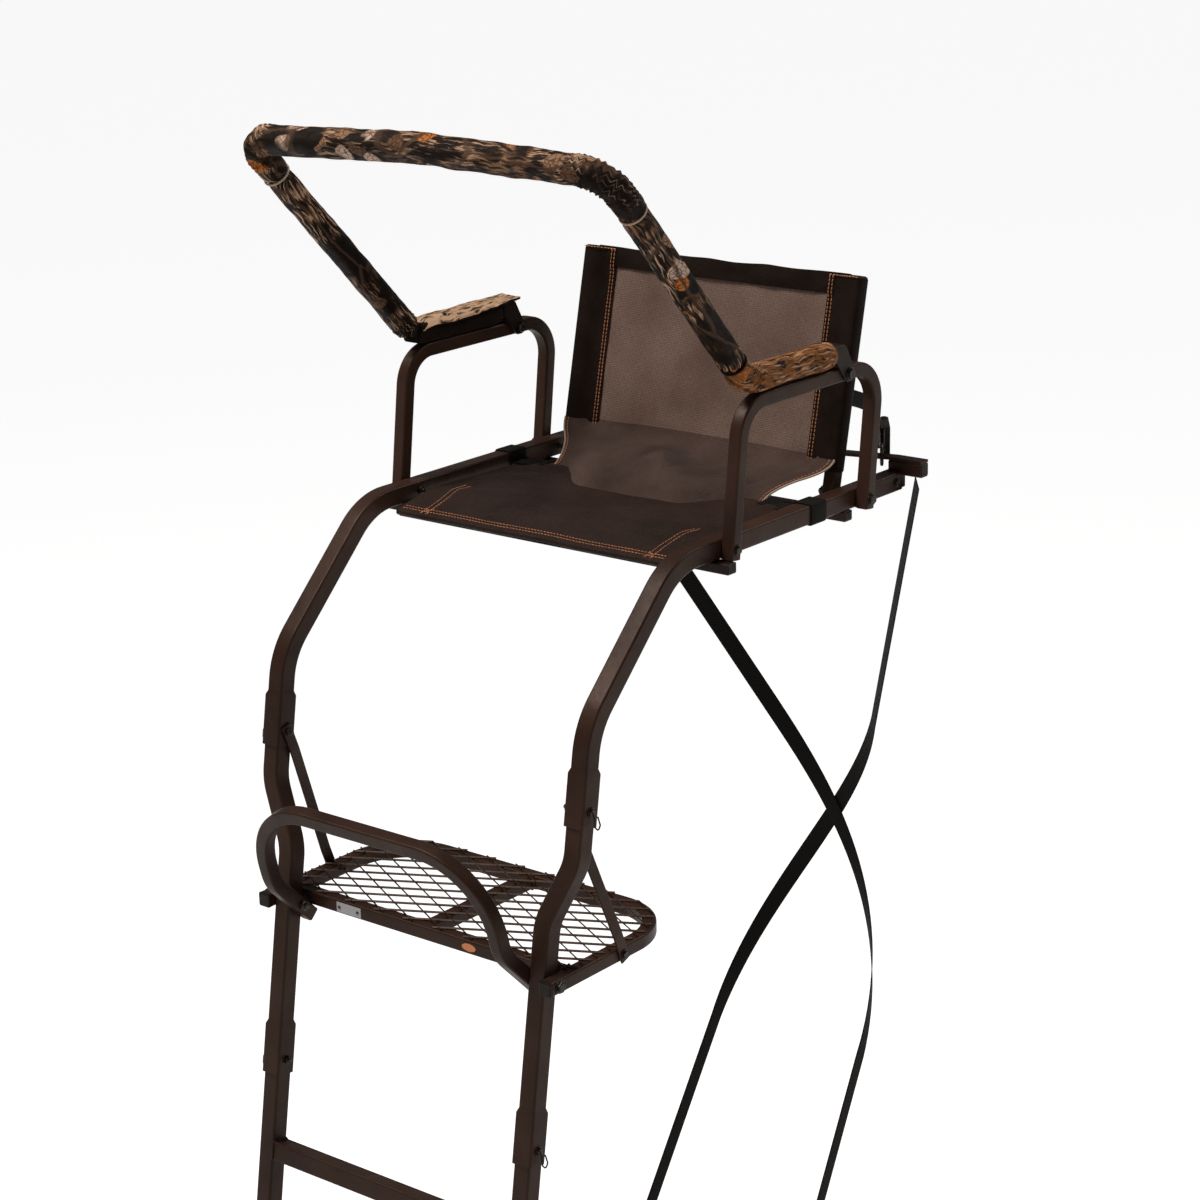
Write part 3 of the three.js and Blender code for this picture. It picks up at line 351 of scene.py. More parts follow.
STEEL = powder_coat("powder_coat", (0.0165, 0.0072, 0.0046), (0.0325, 0.0150, 0.0096))
# A dark copy of the powder coat: black parts, and painted shade on the front crossbar and the rail's lugs.
BLACK_STEEL_AND_PAINTED_SHADE = powder_coat("powder_coat_black_and_painted_shade", (0.0075, 0.0045, 0.0034), (0.0135, 0.0088, 0.0068))
PLASTIC = black_plastic()
ZINC = dark_zinc()
SEAT = seat_cloth()
MESH = open_mesh("open_mesh", (0.108, 0.063, 0.048), (0.200, 0.133, 0.105), 0.62)
# A darker copy of the mesh for the lower panel: painted shade.
LOW_MESH_PAINTED_SHADE = open_mesh("open_mesh_low_painted_shade", (0.030, 0.0160, 0.0122), (0.085, 0.052, 0.042), 0.85)
WEBBING = webbing()
BINDING = binding()
THREAD = thread()
CAMO = camouflage("camouflage", 0.0, (0.4, 0.2, 0.1))
WORN_CAMO = camouflage("camouflage_worn", 0.50, (0.27, 0.095, 0.022))
# The flap's pale camouflage: painted light, as on a top lit from above.
PAINTED_LIGHT_CAMO = camouflage("camouflage_painted_light", 0.72, (0.44, 0.28, 0.17))
PIPING = plain("piping", (0.30, 0.20, 0.13), 0.7, Sheen_Weight=0.3)
PLATE = plain("grey_plate", (0.30, 0.29, 0.29), 0.4, Metallic=0.3)
BADGE = plain("orange_badge", (0.55, 0.16, 0.03), 0.4)


# ---------------------------------------------------------------- mesh building
TUBE_WALL, TUBE_CORNER, LEAST_CORNER = 1.4, 3.0, 0.6
MOUTH_DEPTH, PLUG_CROWN, PLUG_EASE = 14, 1.1, 1
HOLE_SIDES = 16
SHUT = {"ends": ("closed", "closed")}
PLUGGED = {"ends": ("closed", "closed"), "plug": 1}


def v(x, y, z):
    return Vector((x, y, z))


def mirrored(points):
    return [v(-p.x, p.y, p.z) for p in points]


def distances(route):
    """How far along a route each of its points lies."""
    lengths = [0.0]
    for a, b in zip(route, route[1:]):
        lengths.append(lengths[-1] + (b - a).length)
    return lengths


def circle(radius, sides, start=0.0):
    turns = [2 * math.pi * (k + start) / sides for k in range(sides)]
    return [(radius * math.cos(a), radius * math.sin(a)) for a in turns]


class Skin:
    """A mesh in the making: rings of points joined by quads, with lengths along and round as UVs."""

    def __init__(self):
        self.points, self.faces, self.uvs, self.kinds = [], [], [], []

    def ring(self, points, row=0.0):
        first = len(self.points)
        self.points += points
        return first, len(points), distances(points + points[:1]), row

    def join(self, a, b, kind=0):
        for i in range(a[1]):
            j = (i + 1) % a[1]
            self.faces.append((a[0] + i, a[0] + j, b[0] + j, b[0] + i))
            self.uvs.append([(a[2][i], a[3]), (a[2][i + 1], a[3]), (b[2][i + 1], b[3]), (b[2][i], b[3])])
            self.kinds.append(kind)

    def cap(self, ring, kind=0):
        self.faces.append(tuple(range(ring[0], ring[0] + ring[1])))
        self.uvs.append([(0.0, 0.0)] * ring[1])
        self.kinds.append(kind)

    def chain(self, rings):
        for a, b in zip(rings, rings[1:]):
            self.join(a, b)

    def loft(self, rings):
        """Rings joined in turn and closed at both ends."""
        self.chain(rings)
        self.cap(rings[0])
        self.cap(rings[-1])

    def piece(self, name, body, slot, materials, replaces=(), sharp=32, weighted=True):
        mesh = bpy.data.meshes.new(name)
        mesh.from_pydata([tuple(c * MM for c in p) for p in self.points], [], self.faces)
        layer = mesh.uv_layers.new(name="cloth")
        layer.data.foreach_set("uv", [MM * c for corners in self.uvs for uv in corners for c in uv])
        mesh.polygons.foreach_set("material_index", self.kinds)
        shape = bmesh.new()
        shape.from_mesh(mesh)
        bmesh.ops.recalc_face_normals(shape, faces=shape.faces)
        shape.to_mesh(mesh)
        shape.free()
        return finished(name, mesh, body, materials, replaces, sharp, weighted)

    def soft(self, name, body, slot, materials, replaces=(), sharp=60):
        return self.piece(name, body, slot, materials, replaces, sharp, weighted=False)


def finished(name, mesh, body, materials, replaces=(), sharp=32, weighted=True):
    for material in materials:
        mesh.materials.append(material)
    mesh.shade_smooth()
    mesh.set_sharp_from_angle(angle=math.radians(sharp))
    piece = bpy.data.objects.new(name, mesh)
    bpy.context.scene.collection.objects.link(piece)
    if weighted:
        piece.modifiers.new("even_normals", "WEIGHTED_NORMAL").keep_sharp = True
    if body:
        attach(piece, body)
    if replaces:
        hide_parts(*replaces)
    return piece


def dress(node, material, edge):
    """Shows a CAD node as it is, in a material of its own and with eased edges."""
    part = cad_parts[node]
    part.data.materials.clear()
    part.data.materials.append(material)
    eased = part.modifiers.new("eased", "BEVEL")
    eased.width, eased.segments, eased.limit_method = edge * MM, 2, "ANGLE"


def bend(corners, radius, step=4):
    """The corner points of a route, each turned into an arc."""
    stations = [corners[0].copy()]
    for i in range(1, len(corners) - 1):
        into = (corners[i] - corners[i - 1]).normalized()
        out = (corners[i + 1] - corners[i]).normalized()
        turn = into.angle(out)
        r = radius[i - 1] if isinstance(radius, list) else radius
        start = corners[i] - into * (r * math.tan(turn / 2))
        inward = (out - into * out.dot(into)).normalized()
        steps = max(2, math.ceil(math.degrees(turn) / step))
        for k in range(steps + 1):
            a = turn * k / steps
            stations.append(start + into * (r * math.sin(a)) + inward * (r * (1 - math.cos(a))))
    stations.append(corners[-1].copy())
    return stations


def spaced(route, spacing):
    """The same route with a point every so many millimetres, and each point's distance along it."""
    lengths = distances(route)
    count = max(2, round(lengths[-1] / spacing))
    stops = [lengths[-1] * k / count for k in range(count + 1)]
    points, i = [], 0
    for at in stops:
        while i < len(route) - 2 and lengths[i + 1] < at:
            i += 1
        share = (at - lengths[i]) / (lengths[i + 1] - lengths[i])
        points.append(route[i].lerp(route[i + 1], share))
    return points, stops


def frames(stations, across):
    """At each station: the way along, and two ways across it, carried on without twist."""
    last = len(stations) - 1
    steps = [(stations[i + 1] - stations[i]).normalized() for i in range(last)]
    found = []
    side = across
    for i in range(last + 1):
        along = (steps[max(i - 1, 0)] + steps[min(i, last - 1)]).normalized()
        if found:
            side = found[-1][0].rotation_difference(along) @ side
        side = (side - along * side.dot(along)).normalized()
        found.append((along, side, along.cross(side)))
    return found


def rounded(half_width, half_height, radius, steps=4):
    """Outline of a rectangle with round corners, anticlockwise."""
    outline = []
    for corner, (sx, sy) in enumerate(((1, 1), (-1, 1), (-1, -1), (1, -1))):
        for k in range(steps + 1):
            a = math.radians(90 * (corner + k / steps))
            outline.append((
                sx * (half_width - radius) + radius * math.cos(a),
                sy * (half_height - radius) + radius * math.sin(a),
            ))
    return outline


def placed(outline, centre, axes):
    return [centre + axes[1] * p + axes[2] * q for p, q in outline]


def sweep_tube(skin, route, sizes, across=X, wall=TUBE_WALL, corner=TUBE_CORNER,
               ends=("open", "open"), plug=0):
    """A rounded square tube. A size is a width, or (width, height), one for all or one for each station.
    An open end shows the bore, and a closed one has a crowned plug in the plug's material."""
    axes = frames(route, across)
    sizes = sizes if isinstance(sizes, list) else [sizes] * len(route)
    sizes = [s if isinstance(s, tuple) else (s, s) for s in sizes]
    rings = [
        skin.ring(placed(rounded(width / 2, height / 2, corner), station, axis), row)
        for station, axis, (width, height), row in zip(route, axes, sizes, distances(route))
    ]
    skin.chain(rings)
    inner_corner = max(corner - wall, LEAST_CORNER)
    for end, (i, inward) in zip(ends, ((0, 1), (len(route) - 1, -1))):
        half_width, half_height, row = sizes[i][0] / 2 - wall, sizes[i][1] / 2 - wall, rings[i][3]
        inner = rounded(half_width, half_height, inner_corner)
        mouth = skin.ring(placed(inner, route[i], axes[i]), row)
        skin.join(rings[i], mouth)
        if end == "open":
            deep = skin.ring(placed(inner, route[i] + axes[i][0] * (MOUTH_DEPTH * inward), axes[i]), row)
            skin.join(mouth, deep)
            skin.cap(deep)
        else:
            crown = rounded(half_width - PLUG_EASE, half_height - PLUG_EASE, inner_corner)
            top = skin.ring(placed(crown, route[i] - axes[i][0] * (PLUG_CROWN * inward), axes[i]), row)
            skin.join(mouth, top, plug)
            skin.cap(top, plug)


def tube(name, route, sizes, body="stand", material=STEEL, **shape):
    skin = Skin()
    sweep_tube(skin, route, sizes, **shape)
    skin.piece(name + "_tube", body, "powder_coat", [material, PLASTIC], (name,))


def sweep_wire(skin, route, radius, sides=10):
    outline = circle(radius, sides)
    skin.loft([skin.ring(placed(outline, p, axes)) for p, axes in zip(route, frames(route, X))])


def turned(skin, centre, axis, across, profile, sides):
    """A solid of rings about an axis: profile is (place along the axis, radius) from one end to the other."""
    axes = (axis, across, axis.cross(across).normalized())
    skin.loft([
        skin.ring(placed(circle(radius, sides, 0.5), centre + axis * along, axes))
        for along, radius in profile
    ])


def plate(name, outline, place, thickness, material, body="stand", holes=(), bevel=0.7, replaces=()):
    """A flat plate cut to an outline in a plane, with round holes and eased edges."""
    shape = bmesh.new()
    edges = []
    for loop in [outline] + [[(x + p, y - q) for p, q in circle(r, HOLE_SIDES)] for x, y, r in holes]:
        corners = [shape.verts.new((p, q, 0)) for p, q in loop]
        edges += [shape.edges.new((a, b)) for a, b in zip(corners, corners[1:] + corners[:1])]
    bmesh.ops.triangle_fill(shape, use_beauty=True, edges=edges)
    made = bmesh.ops.extrude_face_region(shape, geom=shape.faces[:])
    raised = [g for g in made["geom"] if isinstance(g, bmesh.types.BMVert)]
    bmesh.ops.translate(shape, verts=raised, vec=(0, 0, thickness))
    bmesh.ops.recalc_face_normals(shape, faces=shape.faces)
    rim = [e for e in shape.edges if e.is_manifold and e.calc_face_angle() > math.radians(40)]
    bmesh.ops.bevel(shape, geom=rim, offset=bevel, segments=2, profile=0.5, affect="EDGES")
    shape.transform(Matrix.Scale(MM, 4) @ place)
    mesh = bpy.data.meshes.new(name)
    shape.to_mesh(mesh)
    shape.free()
    finished(name, mesh, body, [material], replaces)


# ---------------------------------------------------------------- ladder line
POST_UP = v(0, math.sin(POST_LEAN), math.cos(POST_LEAN))
DOWN = v(0, -math.sin(LEAN), -math.cos(LEAN))
LADDER_BACK = v(0, math.cos(LEAN), -math.sin(LEAN))


def on_ladder(x, station):
    return v(x, *LADDER_START) + DOWN * station


# ---------------------------------------------------------------- straps
LEAD_IN, LEAD_OUT = 6, 14


def touching(point, way, radius):
    """The angle at which a line from a point touches a circle round the trunk's middle."""
    dx, dy = point.x, point.y - TRUNK_Y
    return math.atan2(dy, dx) + way * math.acos(radius / math.hypot(dx, dy))


def round_trunk(start, end, radius, step=4):
    """A taut strap from +X, round the back of the trunk, to -X: its stations, and the way its face looks.
    Its height changes evenly along its length."""
    first = touching(start, 1, radius)
    last = touching(end, -1, radius) + 2 * math.pi
    steps = math.ceil(math.degrees(last - first) / step)
    angles = [first + (last - first) * k / steps for k in range(steps + 1)]
    radial = [v(math.cos(a), math.sin(a), 0) for a in angles]
    arc = [r * radius + v(0, TRUNK_Y, 0) for r in radial]
    before = [start.lerp(arc[0], k / LEAD_IN) for k in range(LEAD_IN)]
    after = [arc[-1].lerp(end, k / LEAD_OUT) for k in range(1, LEAD_OUT + 1)]
    stations = [p.copy() for p in before + arc + after]
    facing = [radial[0]] * LEAD_IN + radial + [radial[-1]] * LEAD_OUT
    lengths = distances([v(p.x, p.y, 0) for p in stations])
    for p, length in zip(stations, lengths):
        p.z = start.z + (end.z - start.z) * length / lengths[-1]
    return stations, facing


def strap_outline():
    """A strap's cross-section: rounded at its edges, with extra points along both its flat sides."""
    outline = rounded(STRAP_THICK / 2, STRAP_WIDTH / 2, STRAP_THICK / 2 - 0.05, 2)
    front = [(STRAP_THICK / 2, STRAP_WIDTH * share) for share in (-0.3, -0.15, 0.0, 0.15, 0.3)]
    back = [(-p, -q) for p, q in front]
    quarter = len(outline) // 4
    return outline[3 * quarter:] + front + outline[:2 * quarter] + back + outline[2 * quarter:3 * quarter]


def strap(name, stations, facing):
    skin = Skin()
    rows = distances(stations)
    rings = []
    for i, station in enumerate(stations):
        along = (stations[min(i + 1, len(stations) - 1)] - stations[max(i - 1, 0)]).normalized()
        up = along.cross(facing[i]).normalized()
        out = up.cross(along).normalized()
        rings.append(skin.ring(placed(strap_outline(), station, (along, out, up)), rows[i]))
    skin.loft(rings)
    piece = skin.piece(name + "_webbing", "stand", "webbing", [WEBBING], (name,), weighted=False)


cross_end = on_ladder(-LADDER_HALF, CROSS_STRAP_STATION)
cross_end.y += RAIL / 2 / math.cos(LEAN) + CROSS_STRAP_STAND_OFF
inner_run = round_trunk(CROSS_STRAP_START, cross_end, TRUNK_RADIUS + STRAP_CLEAR)
outer_run = round_trunk(CROSS_STRAP_START, cross_end, TRUNK_RADIUS + 3 * STRAP_CLEAR)
strap("cross_strap_left", *(mirrored(points) for points in inner_run))
strap("cross_strap_right", *outer_run)

hook_at = v(HOOK_HOLE_X, HOOK_HOLE_Y, 0)
tie_arc, tie_facing = round_trunk(hook_at, v(-hook_at.x, hook_at.y, 0), TRUNK_RADIUS + STRAP_CLEAR)
tie_along = tie_arc[LEAD_IN] - hook_at
tie_along.z = 0
tie_along.normalize()
tie_start = hook_at + tie_along * TIE_HOOK_REACH
tie_start.z = TIE_Z
strap("tie_strap", *round_trunk(tie_start, v(-tie_start.x, tie_start.y, TIE_Z), TRUNK_RADIUS + STRAP_CLEAR))

# ---------------------------------------------------------------- rails, arms, posts and crossbars
CROSSBAR_OVERHANG = 2


def socketed(name, route, x, station):
    """A rail whose lower end, at a station of the ladder line, flares into a socket for the next one."""
    run = route + [on_ladder(x, station + FLARE), on_ladder(x, station + FLARE + SOCKET_LENGTH)]
    tube(name, run, [RAIL] * len(route) + [SOCKET, SOCKET])


for name, side in SIDES.items():
    wide, narrow, arm_x = side * SEAT_HALF, side * LADDER_HALF, side * ARM_HALF
    corners = [v(wide, RAIL_REAR_Y, SEAT_Z), v(wide, *TOP_BEND), v(wide, *LOW_BEND),
               on_ladder(wide, FIRST_SOCKET)]
    socketed(f"seat_rail_{name}", bend(corners, RAIL_BEND_RADIUS), wide, FIRST_SOCKET)
    corners = [on_ladder(wide, FIRST_SOCKET + NEXT_TUBE), on_ladder(wide, JOG_FROM),
               on_ladder(narrow, JOG_TO), on_ladder(narrow, SECOND_SOCKET)]
    socketed(f"platform_rail_{name}", bend(corners, JOG_RADIUS), narrow, SECOND_SOCKET)
    route = [on_ladder(narrow, SECOND_SOCKET + NEXT_TUBE), on_ladder(narrow, THIRD_SOCKET)]
    socketed(f"upper_ladder_rail_{name}", route, narrow, THIRD_SOCKET)
    route = [on_ladder(narrow, THIRD_SOCKET + NEXT_TUBE), on_ladder(narrow, FOOT_STATION)]
    tube(f"lower_ladder_rail_{name}", route, RAIL)

    corners = [v(arm_x, ARM_FRONT_Y, ARM_FOOT_Z), v(arm_x, ARM_FRONT_Y + ARM_RISE, ARM_TOP_Z),
               v(arm_x, ARM_REAR_Y + ARM_RISE, ARM_TOP_Z), v(arm_x, ARM_REAR_Y, ARM_FOOT_Z)]
    tube(f"arm_{name}", bend(corners, ARM_RADIUS), LIGHT, **PLUGGED)
    pivot = v(side * POST_HALF, POST_PIVOT_Y, SEAT_Z)
    route = [pivot - POST_UP * POST_TAIL, pivot + POST_UP * POST_TOP]
    tube(f"back_post_{name}", route, LIGHT, body="backrest", **PLUGGED)

# The front crossbar's dark steel is painted shade; the rear one is in the plain powder coat.
for name, y, half, paint in (
    ("seat_front_crossbar", FRONT_CROSSBAR_Y, ARM_HALF + LIGHT / 2 + CROSSBAR_OVERHANG, BLACK_STEEL_AND_PAINTED_SHADE),
    ("seat_rear_crossbar", REAR_CROSSBAR_Y, SEAT_HALF + RAIL / 2, STEEL),
):
    tube(name, [v(-half, y, CROSSBAR_Z), v(half, y, CROSSBAR_Z)], (LIGHT, CROSSBAR_HEIGHT), across=Y,
         corner=2.2, material=paint, **PLUGGED)

for i in range(RUNGS):
    ends = [on_ladder(s * RUNG_REACH, FIRST_RUNG + i * RUNG_PITCH) for s in (-1, 1)]
    tube(f"rung_{i + 1}", ends, RUNG, across=LADDER_BACK, corner=2.6)

# ---------------------------------------------------------------- tree brace
rear_edge = [(STUB_OUTER, BRACE_DEPTH), (BRACE_HALF, BRACE_DEPTH), (0, 0)]
front_edge = [(0, -BRACE_WIDTH), (BRACE_HALF, BRACE_DEPTH - LIGHT), (STUB_OUTER, BRACE_DEPTH - LIGHT)]
blade_outline = (rear_edge + [(-x, y) for x, y in rear_edge[1::-1]]
                 + [(-x, y) for x, y in front_edge[:0:-1]] + front_edge)
plate("tree_brace_blade", blade_outline, Matrix.Translation((0, 0, -BRACE_THICK / 2)), BRACE_THICK,
      STEEL, holes=[(s * HOOK_HOLE_X, HOOK_HOLE_Y, HOOK_HOLE_RADIUS) for s in (-1, 1)],
      replaces=("tree_brace",))
STUB_Z = -BRACE_THICK / 2 - LIGHT / 2 + 0.1
PRONG_HALF = RAIL / 2 - RAIL_WALL - GAP
stubs = Skin()
for side in (-1, 1):
    sweep_tube(stubs, [v(side * STUB_INNER, STUB_Y, STUB_Z), v(side * STUB_OUTER, STUB_Y, STUB_Z)], LIGHT,
               across=Y, ends=("open", "closed"), plug=1)
    prong = [v(side * SEAT_HALF, RAIL_REAR_Y - PRONG_LENGTH, SEAT_Z), v(side * SEAT_HALF, STUB_Y, SEAT_Z)]
    sweep_tube(stubs, prong, 2 * PRONG_HALF, corner=2)
stubs.piece("tree_brace_stubs", "stand", "powder_coat", [STEEL, PLASTIC])

# ---------------------------------------------------------------- platform
MESH_INSET, MESH_RISE, STRAND_THICK, STRAND_LEAN, STRAND_STEPS = 3, 1.1, 1.5, math.radians(38), 10
BRACE_END, BRACE_FLAT, BRACE_BEND_RADIUS = 9, 30, 40
FRONT_FACE_Y = FRONT_BAR_Y - LIGHT / 2
corners = [v(-PLATFORM_HALF, PLATFORM_FRONT_Y, PLATFORM_Z), v(-PLATFORM_HALF, PLATFORM_REAR_Y, PLATFORM_Z)]
tube("platform_frame", bend(corners + mirrored(corners)[::-1], PLATFORM_CORNER), LIGHT)
bars = Skin()
sweep_tube(bars, [v(s * FRONT_BAR_HALF, FRONT_BAR_Y, PLATFORM_Z) for s in (-1, 1)], LIGHT, across=Y)
middle_bar = [v(0, FRONT_BAR_Y + LIGHT / 2 - 1, PLATFORM_Z),
              v(0, PLATFORM_REAR_Y - LIGHT / 2 - GAP, PLATFORM_Z)]
sweep_tube(bars, middle_bar, LIGHT, **SHUT)
bars.piece("platform_bars_tube", "stand", "powder_coat", [STEEL], ("platform_bars",))


def inside_platform(p, inset):
    """True where a point lies on the platform's floor, this far inside the outer edge of its tubes."""
    half = PLATFORM_HALF + LIGHT / 2 - inset
    rear = PLATFORM_REAR_Y + LIGHT / 2 - inset
    radius = PLATFORM_CORNER + LIGHT / 2 - inset
    if abs(p.x) > half or p.y > rear or p.y < FRONT_FACE_Y + inset:
        return False
    over_x, over_y = abs(p.x) - (half - radius), p.y - (rear - radius)
    return over_x < 0 or over_y < 0 or math.hypot(over_x, over_y) < radius


def strand(skin, start, step, rising):
    """One side of a diamond, cut off at the platform's edge. It leans over, as expanded metal does."""
    line = [start + step * (k / STRAND_STEPS) for k in range(STRAND_STEPS + 1)]
    inner = [p for p in line if inside_platform(p, MESH_INSET)]
    if len(inner) < 3:
        return
    along = (inner[-1] - inner[0]).normalized()
    tilt = STRAND_LEAN * rising
    up = Z * math.cos(tilt) + along.cross(Z) * math.sin(tilt)
    outline = rounded(MESH_STRAND / 2, STRAND_THICK / 2, 0.45, 1)
    skin.loft([skin.ring(placed(outline, p, (along, along.cross(up), up))) for p in (inner[0], inner[-1])])


half_x, half_y = MESH_X / 2, MESH_Y / 2
mesh_middle = v(0, (FRONT_BAR_Y + PLATFORM_REAR_Y) / 2, PLATFORM_Z + LIGHT / 2 + GAP + MESH_RISE)
columns = math.ceil(PLATFORM_HALF / half_x) + 1
rows = math.ceil((PLATFORM_REAR_Y - FRONT_BAR_Y) / MESH_Y) + 2
diamonds = Skin()
for i in range(-columns, columns):
    for j in range(-rows, rows):
        if (i + j) % 2:
            for rising in (1, -1):
                start = v(i * half_x, mesh_middle.y + j * half_y, mesh_middle.z)
                strand(diamonds, start, v(half_x, rising * half_y, 0), rising)
diamonds.piece("platform_mesh_strands", "stand", "powder_coat", [STEEL], ("platform_mesh",))

for name, side in SIDES.items():
    top = on_ladder(SEAT_HALF - SOCKET / 2 - GAP - BRACE_BAR_THICK / 2, FIRST_SOCKET + PIN_DROP)
    foot = v(PLATFORM_HALF + LIGHT / 2 + GAP + BRACE_BAR_THICK / 2, BRACE_FOOT_Y, PLATFORM_Z)
    along = foot - top
    along.x = 0
    along.normalize()
    ends = [top - along * BRACE_END, top + along * BRACE_FLAT,
            foot - along * BRACE_FLAT, foot + along * BRACE_END]
    route = bend([v(side * p.x, p.y, p.z) for p in ends], BRACE_BEND_RADIUS)
    tube(f"platform_brace_{name}", route, (BRACE_BAR_THICK, BRACE_BAR_WIDTH), corner=0.9, wall=0.6, **SHUT)
    cap = Skin()
    centre = v(side * PLATFORM_HALF, PLATFORM_FRONT_Y - GAP, PLATFORM_Z)
    domed = [(8, LIGHT / 2 - 2.2), (0, LIGHT / 2 - 2.2), (0, LIGHT / 2), (-3, LIGHT / 2),
             (-3.8, LIGHT / 2 - 0.9), (-4, LIGHT / 2 - 2.5)]
    cap.loft([
        cap.ring(placed(rounded(h, h, 2.4 if h > 8 else 1.5), centre + v(0, y, 0), (Y, X, Z)))
        for y, h in domed
    ])
    cap.piece(f"platform_plug_{name}", "stand", "black_plastic", [PLASTIC], (f"platform_cap_{name}",))
    dress(f"foot_{name}", PLASTIC, 1.2)

# A small plate held by two rivets, and a coloured oval, on the front of the bar behind the ladder rails.
PLATE_FROM, PLATE_TO, PLATE_HALF_HEIGHT, RIVETS = -147, -104, 7, (-142, -110)
OVAL_X, OVAL_HALF_WIDTH, OVAL_HALF_HEIGHT = 81, 11.5, 5.2
upright = Matrix(((1, 0, 0, 0), (0, 0, -1, FRONT_FACE_Y), (0, 1, 0, PLATFORM_Z), (0, 0, 0, 1)))
plate_outline = [(PLATE_FROM, -PLATE_HALF_HEIGHT), (PLATE_TO, -PLATE_HALF_HEIGHT),
                 (PLATE_TO, PLATE_HALF_HEIGHT), (PLATE_FROM, PLATE_HALF_HEIGHT)]
plate("rating_plate", plate_outline, upright, 0.8, PLATE, bevel=0.3)
rivets = Skin()
for x in RIVETS:
    turned(rivets, v(x, FRONT_FACE_Y - 0.8, PLATFORM_Z), -Y, X,
           [(-0.3, 2.4), (0.0, 2.4), (0.7, 1.9), (1.1, 0.9)], 12)
rivets.piece("plate_rivets", "stand", "fasteners", [ZINC])
oval = [(OVAL_X + OVAL_HALF_WIDTH * p, OVAL_HALF_HEIGHT * q) for p, q in circle(1, 28)]
plate("oval_sticker", oval, upright, 0.35, BADGE, bevel=0.1)

# ---------------------------------------------------------------- footrest
foot_side = [v(FOOTREST_HALF, FOOTREST_PIVOT_Y + FOOTREST_TAIL, PLATFORM_Z - FOOTREST_TAIL),
             v(FOOTREST_HALF, *FOOTREST_KNEE), v(FOOTREST_HALF, *FOOTREST_TOP)]
tube("footrest", bend(mirrored(foot_side) + foot_side[::-1], FOOTREST_RADII), LIGHT, body="footrest")


# ---------------------------------------------------------------- shooting rail
def rest_route(tail):
    half, y, z = REST_FRONT
    side = [v(ARM_HALF, REST_PIVOT_Y - tail, REST_Z), v(ARM_HALF, REST_BEND_Y, REST_Z), v(half, y, z)]
    return bend(mirrored(side) + [v(0, y, z + REST_BOW)] + side[::-1], REST_RADII)


tube("shooting_rail", rest_route(REST_TAIL), REST_TUBE, body="shooting_rail", material=BLACK_STEEL_AND_PAINTED_SHADE, **PLUGGED)
lug_top, lug_front = REST_Z + REST_TUBE / 2 - 1, REST_PIVOT_Y - REST_PAD_TAIL + 2
lug_foot = [(-10, -6), (-8, -8.5), (-4, -10), (4, -10), (8, -8.5), (10, -6), (10, 5)]
lug_outline = [(REST_PIVOT_Y + y, ARM_TOP_Z + z) for y, z in lug_foot] + [
    (REST_PIVOT_Y - 8, lug_top), (lug_front, lug_top), (lug_front, REST_Z - REST_TUBE / 2 + 2),
]
# The lugs' dark steel is partly the rail's black, partly painted shade under the flap.
for name, side in SIDES.items():
    for place, x in (("outer", LIGHT / 2 + GAP), ("inner", -LIGHT / 2 - GAP - LUG)):
        at = Matrix(((0, 0, 1, side * ARM_HALF + x), (1, 0, 0, 0), (0, 1, 0, 0), (0, 0, 0, 1)))
        plate(f"rail_lug_{name}_{place}", lug_outline, at, LUG, BLACK_STEEL_AND_PAINTED_SHADE,
              body="shooting_rail")


# ---------------------------------------------------------------- bolts and pins
def bolt(name, y, z, head_x, nut_x, radius):
    """A hexagon head and washer, a shank, and a nut that the thread stands out of."""
    out = X * math.copysign(1, head_x - nut_x)
    head_at, nut_at = v(head_x, y, z), v(nut_x, y, z)
    head, washer, core = radius * 1.8, radius * 2.15, radius * 0.86
    reach = abs(head_x - nut_x) + radius * 1.4 + 3
    skin = Skin()
    turned(skin, head_at, out, Y,
           [(0, head * 0.98), (0.2, head), (radius * 0.95, head), (radius * 1.2, head * 0.84)], 6)
    turned(skin, head_at, out, Y, [(-0.1, washer), (0.9, washer), (1.1, radius * 2.0)], 20)
    turned(skin, nut_at, -out, Y, [(0, head), (radius * 1.15, head), (radius * 1.4, head * 0.84)], 6)
    shank = [(0.0, radius * 0.98)]
    for k in range(int(reach - 1)):
        shank += [(k + 0.5, radius * 0.98), (k + 1.0, core)]
    shank += [(reach - 0.4, core), (reach, radius * 0.6)]
    turned(skin, head_at, -out, Y, shank, 14)
    skin.piece(name + "_hex", "stand", "fasteners", [ZINC], (name,))


def clip(name, y, z, x, side):
    """A hairpin clip of wire that hangs from the outer end of a pin."""
    skin = Skin()
    legs = [v(x + side * out, y + back, z + up) for out, back, up in (
        (0, -3, 3), (4, -4.5, -4), (5, -5, -15), (5, 1, -21), (5, 5, -15), (3, 3, -4))]
    sweep_wire(skin, bend(legs, [3, 4, 2.5, 2.5, 4]), 1.0, 8)
    skin.piece(name, "stand", "fasteners", [BLACK_STEEL_AND_PAINTED_SHADE])


